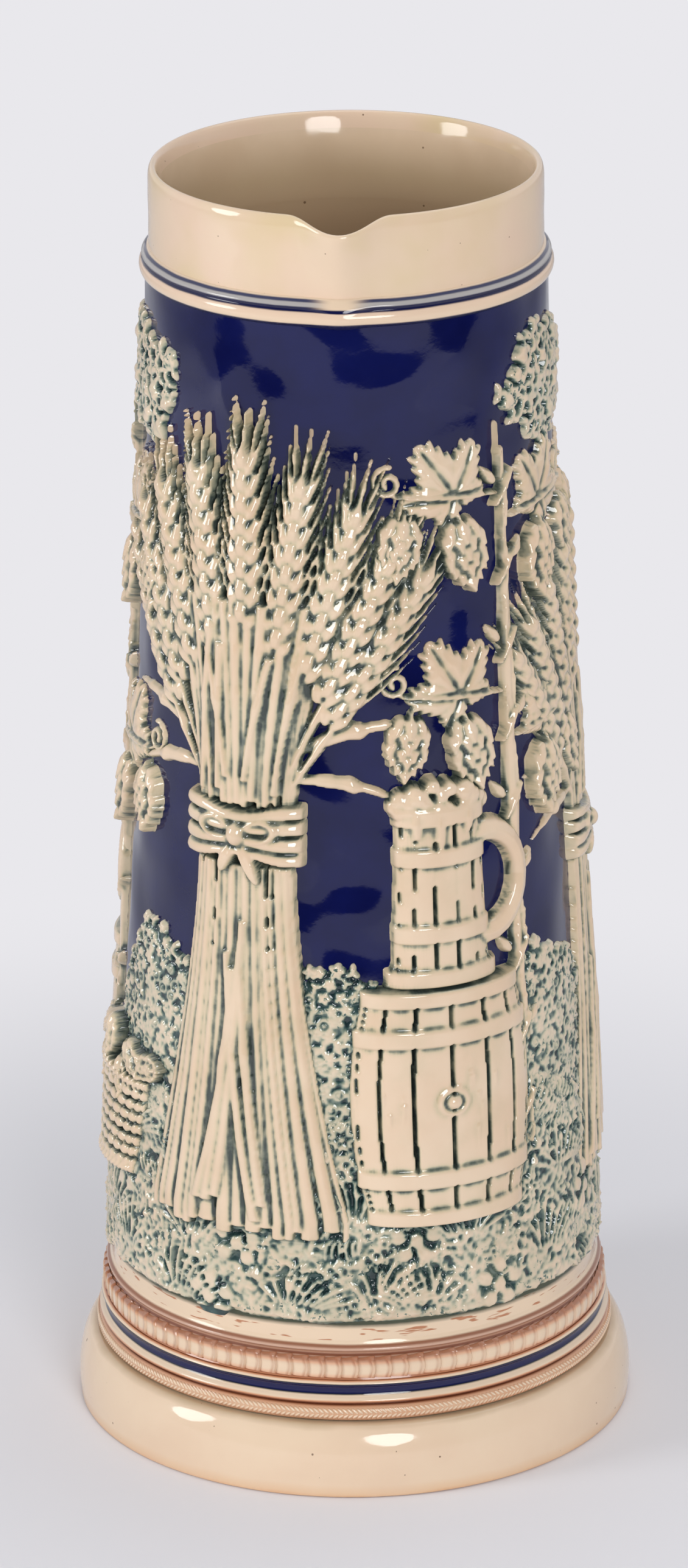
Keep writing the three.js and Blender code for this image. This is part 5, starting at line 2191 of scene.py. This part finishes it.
@dataclass
class Handle:
    """The strap handle at the back and the pads of clay that root it."""

    width: float = 20.0
    thickness: float = 11.0
    sides: int = 40
    root: float = 6.0
    root_depth: float = 3.0

    def _line(self) -> Rows:
        """Gives the strap's middle line, as rows of Y and Z, with the same bends as the frame's."""
        top = FORM.panel_bottom + FORM.handle_top
        foot = FORM.panel_bottom + FORM.handle_foot
        drop = top - foot
        marks = [(-0.09, top, 0), (0.3, top, 0.035), (0.78, top, -0.01), (1.0, top, -0.16)]
        marks += [(0.98, top, -0.42)]
        marks += [(0.8, top, -0.7), (0.42, foot, 0.1), (-0.07, foot, 0)]
        knots = np.array([[float(FORM.radius(z)) + s * FORM.handle_reach, z + d * drop] for s, z, d in marks])
        ends = np.vstack([2 * knots[0] - knots[1], knots, 2 * knots[-1] - knots[-2]])
        line = []
        for i in range(len(ends) - 3):
            four = ends[i : i + 4]
            spans = [max(1e-6, math.dist(four[k], four[k + 1]) ** 0.5) for k in range(3)]
            last = i == len(ends) - 4
            line += [self._knot(four, spans, share) for share in np.linspace(0, 1, 9)[: 9 if last else 8]]
        return np.array(line)

    def _knot(self, four: Rows, spans: Sequence[float], s: float) -> Rows:
        """Gives a point of the centripetal curve between the middle two of four knots."""
        a, b, c = spans
        p0, p1, p2, p3 = four
        near = ((p1 - p0) / a - (p2 - p0) / (a + b) + (p2 - p1) / b) * b
        far = ((p2 - p1) / b - (p3 - p1) / (b + c) + (p3 - p2) / c) * b
        ends = (2 * s**3 - 3 * s**2 + 1) * p1 + (s**3 - 2 * s**2 + s) * near
        return ends + (3 * s**2 - 2 * s**3) * p2 + (s**3 - s**2) * far

    def build(self, finishes: Finishes, press: ReliefPress, box: FormBox) -> None:
        """Sweeps the strap and presses its pads.

        Args:
            finishes: The jug's materials.
            press: The press that the pads are made with.
            box: The modelled forms.
        """
        line = self._line()
        circle = {"vertices": self.sides, "radius": 1.0}
        work = Workpiece("handle_strap_swept", bpy.ops.mesh.primitive_circle_add, **circle)
        bpy.ops.mesh.edge_face_add()
        for _ in range(len(line) - 1):
            bpy.ops.mesh.extrude_region_move(TRANSFORM_OT_translate={"value": (0, 0, 1)})
        work.weld(1e-5)
        strap = work.done()
        x, y, z = points_of(strap).T
        ring = np.round(z).astype(int)
        cos, sin = np.cos(np.arctan2(y, x)), np.sin(np.arctan2(y, x))
        tangent = np.gradient(line, axis=0)
        tangent /= np.linalg.norm(tangent, axis=1)[:, None]
        share = ring / (len(line) - 1)
        grow = 1 + 0.16 * bump(share, 0, 0.07) + 0.16 * bump(share, 1, 0.07)
        across = np.sign(sin) * np.abs(sin) ** 0.7 * self.width / 2 * grow
        rib = bump(across, 0, 2.6) + 0.55 * bump(np.abs(across), 8.2, 1.5) - 0.55
        out = np.sign(cos) * np.abs(cos) ** 0.7 * self.thickness / 2 + np.clip(cos, 0, 1) * 0.95 * rib
        normal = np.stack([-tangent[:, 1], tangent[:, 0]], axis=1)
        place = line[ring] + normal[ring] * out[:, None]
        set_points(strap, rows(across, place[:, 0], place[:, 1]))
        only(strap)
        bpy.ops.object.mode_set(mode="EDIT")
        bpy.ops.mesh.select_all(action="SELECT")
        bpy.ops.mesh.normals_make_consistent(inside=False)
        bpy.ops.object.mode_set(mode="OBJECT")
        crest = bump(across, 0, 1.7) + bump(np.abs(across), 8.4, 1.1)
        mark(strap, "wash", np.clip(np.where(out > 0, crest, 0), 0, 1))
        finish_turned(strap, Slot.COBALT, [finishes.strap], "handle_strap")
        for name, level in (("handle_root_upper", FORM.handle_top), ("handle_root_lower", FORM.handle_foot)):
            self._press_root(press, Bed(box), name, level)

    def _press_root(self, press: ReliefPress, bed: Bed, name: str, level: float) -> None:
        """Presses one pad: a ring of leaves round the strap's end."""
        wide = self.width / 2 + self.root * 0.35
        tall = self.thickness / 2 + self.root * 0.35
        bed.lay("dome", (0, level), (wide + 1.2, tall + 1.2, self.root_depth), 0, 0.3)
        for i in range(16):
            turn = 2 * math.pi * i / 16
            x, y = wide * math.cos(turn), tall * math.sin(turn)
            bed.lay("leaflet", (x, level + y), (2.3, 4.4, 1.9), 90 - math.degrees(math.atan2(y, x)), 1.0)
        press.press(name, 180.0, bed)


@dataclass
class Stage:
    """The camera, the lights and the pale floor, as in the photograph."""

    lens: float = 176.99
    camera_back: float = 2.0566
    camera_height: float = 0.9561
    camera_drop: float = 20.431
    camera_roll: float = -0.427
    floor_front: float = 0.5
    floor_colour: Colour = srgb(236, 235, 240)
    backdrop: Colour = srgb(233, 232, 236)

    def build(self) -> None:
        """Sets up everything round the jug."""
        self._camera()
        self._floor()
        self._lights()
        self._world()

    def _set(self, name: str, data: Any) -> Obj:
        """Puts a camera or a light into the scene."""
        obj = bpy.data.objects.new(name, data)
        bpy.context.scene.collection.objects.link(obj)
        return obj

    def _camera(self) -> None:
        """Adds the camera at the photograph's viewing angle."""
        data = bpy.data.cameras.new("camera")
        data.lens = self.lens
        data.sensor_width = 36.0
        data.shift_x, data.shift_y = -0.004, -0.0077
        data.clip_end = 50.0
        camera = self._set("camera", data)
        tip = Matrix.Rotation(math.radians(90 - self.camera_drop), 4, "X")
        roll = Matrix.Rotation(math.radians(self.camera_roll), 4, "Z")
        camera.matrix_world = Matrix.Translation((0, -self.camera_back, self.camera_height)) @ tip @ roll
        bpy.context.scene.camera = camera

    def _floor(self) -> None:
        """Adds the pale floor, whose front edge lies between the jug and the camera."""
        work = Workpiece("floor", bpy.ops.mesh.primitive_plane_add, size=2.0)
        work.size(6, 3.3, 1)
        work.move(y=3.3 - self.floor_front)
        floor = work.done()
        material = bpy.data.materials.new("pale_paper")
        material.use_nodes = True
        bench = NodeBench(material.node_tree)
        colour = {"Base Color": (*self.floor_colour, 1.0), "Roughness": 0.85}
        reach = bench.wire("VectorMath", "Value", {0: bench.place}, operation="LENGTH")
        away = bench.smooth(reach, 0.13, 0.4)
        mixed = {
            0: away * bench.wire("LightPath", "Is Camera Ray"),
            1: bench.wire("BsdfPrincipled", 0, colour),
            2: bench.wire("Emission", 0, {"Color": (*self.backdrop, 1.0)}),
        }
        bench.add("OutputMaterial", {"Surface": bench.wire("MixShader", 0, mixed)})
        floor.data.materials.append(material)
        floor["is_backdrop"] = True

    def _lights(self) -> None:
        """Adds the two windows of soft light and a broad one from above."""
        target = Vector((0, 0, 0.17))
        for name, azimuth, rise, distance, size, power in (
            ("window_right", 14.0, 17.0, 1.5, (0.54, 0.76), 10.1),
            ("window_left", -72.0, 17.0, 1.5, (0.5, 0.76), 7.8),
            ("overhead", 150.0, 72.0, 1.9, (1.6, 1.6), 8.0),
        ):
            data = bpy.data.lights.new(name, "AREA")
            data.shape = "ELLIPSE"
            data.size, data.size_y = size
            data.energy = power
            turn, high = math.radians(azimuth), math.radians(rise)
            flat = distance * math.cos(high)
            light = self._set(name, data)
            way = (flat * math.sin(turn), -flat * math.cos(turn), distance * math.sin(high))
            light.location = target + Vector(way)
            light.rotation_euler = (target - light.location).to_track_quat("-Z", "Y").to_euler()

    def _world(self) -> None:
        """Adds the white surroundings, darker where the studio's room lies."""
        world = bpy.data.worlds.new("studio")
        bpy.context.scene.world = world
        world.use_nodes = True
        bench = NodeBench(world.node_tree)
        way = bench.wire("TexCoord", "Generated")
        ahead, up = (bench.wire("SeparateXYZ", axis, {0: way}) for axis in "YZ")
        seen = bench.mix(bench.smooth(ahead, -0.75, 0.1), srgb(96, 98, 106), srgb(236, 235, 239))
        table = bench.mix(bench.smooth(up, -0.195, -0.22), srgb(30, 32, 42), srgb(220, 220, 226))
        seen = bench.mix(bench.smooth(up, -0.02, -0.1), seen, table)
        mirrored = {
            0: bench.wire("LightPath", "Is Glossy Ray"),
            1: bench.wire("Background", 0, {"Color": (0.95, 0.97, 1.0, 1.0), "Strength": 0.42}),
            2: bench.wire("Background", 0, {"Color": seen}),
        }
        shown = {
            0: bench.wire("LightPath", "Is Camera Ray"),
            1: bench.wire("MixShader", 0, mirrored),
            2: bench.wire("Background", 0, {"Color": (*self.backdrop, 1.0)}),
        }
        bench.add("OutputWorld", {"Surface": bench.wire("MixShader", 0, shown)})


def main() -> None:
    """Builds the jug round its frame, in order, and reports each piece."""
    logging.basicConfig(level=logging.INFO, format="%(name)s: %(message)s")
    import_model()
    frame_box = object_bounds()
    bpy.context.scene.view_settings.view_transform = "Standard"
    finishes = Finishes()
    Body().build(finishes)
    Bands().build(finishes)
    Neck().build(finishes)
    box = FormBox()
    press = ReliefPress(SHEET_PITCH)
    Handle().build(finishes, press, box)
    Relief().press(press, box)
    press.bend_all(finishes.by_slot())
    Stage().build()
    both = [[list(map(float, corner)) for corner in box] for box in (frame_box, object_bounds())]


if __name__ == "__main__":
    main()
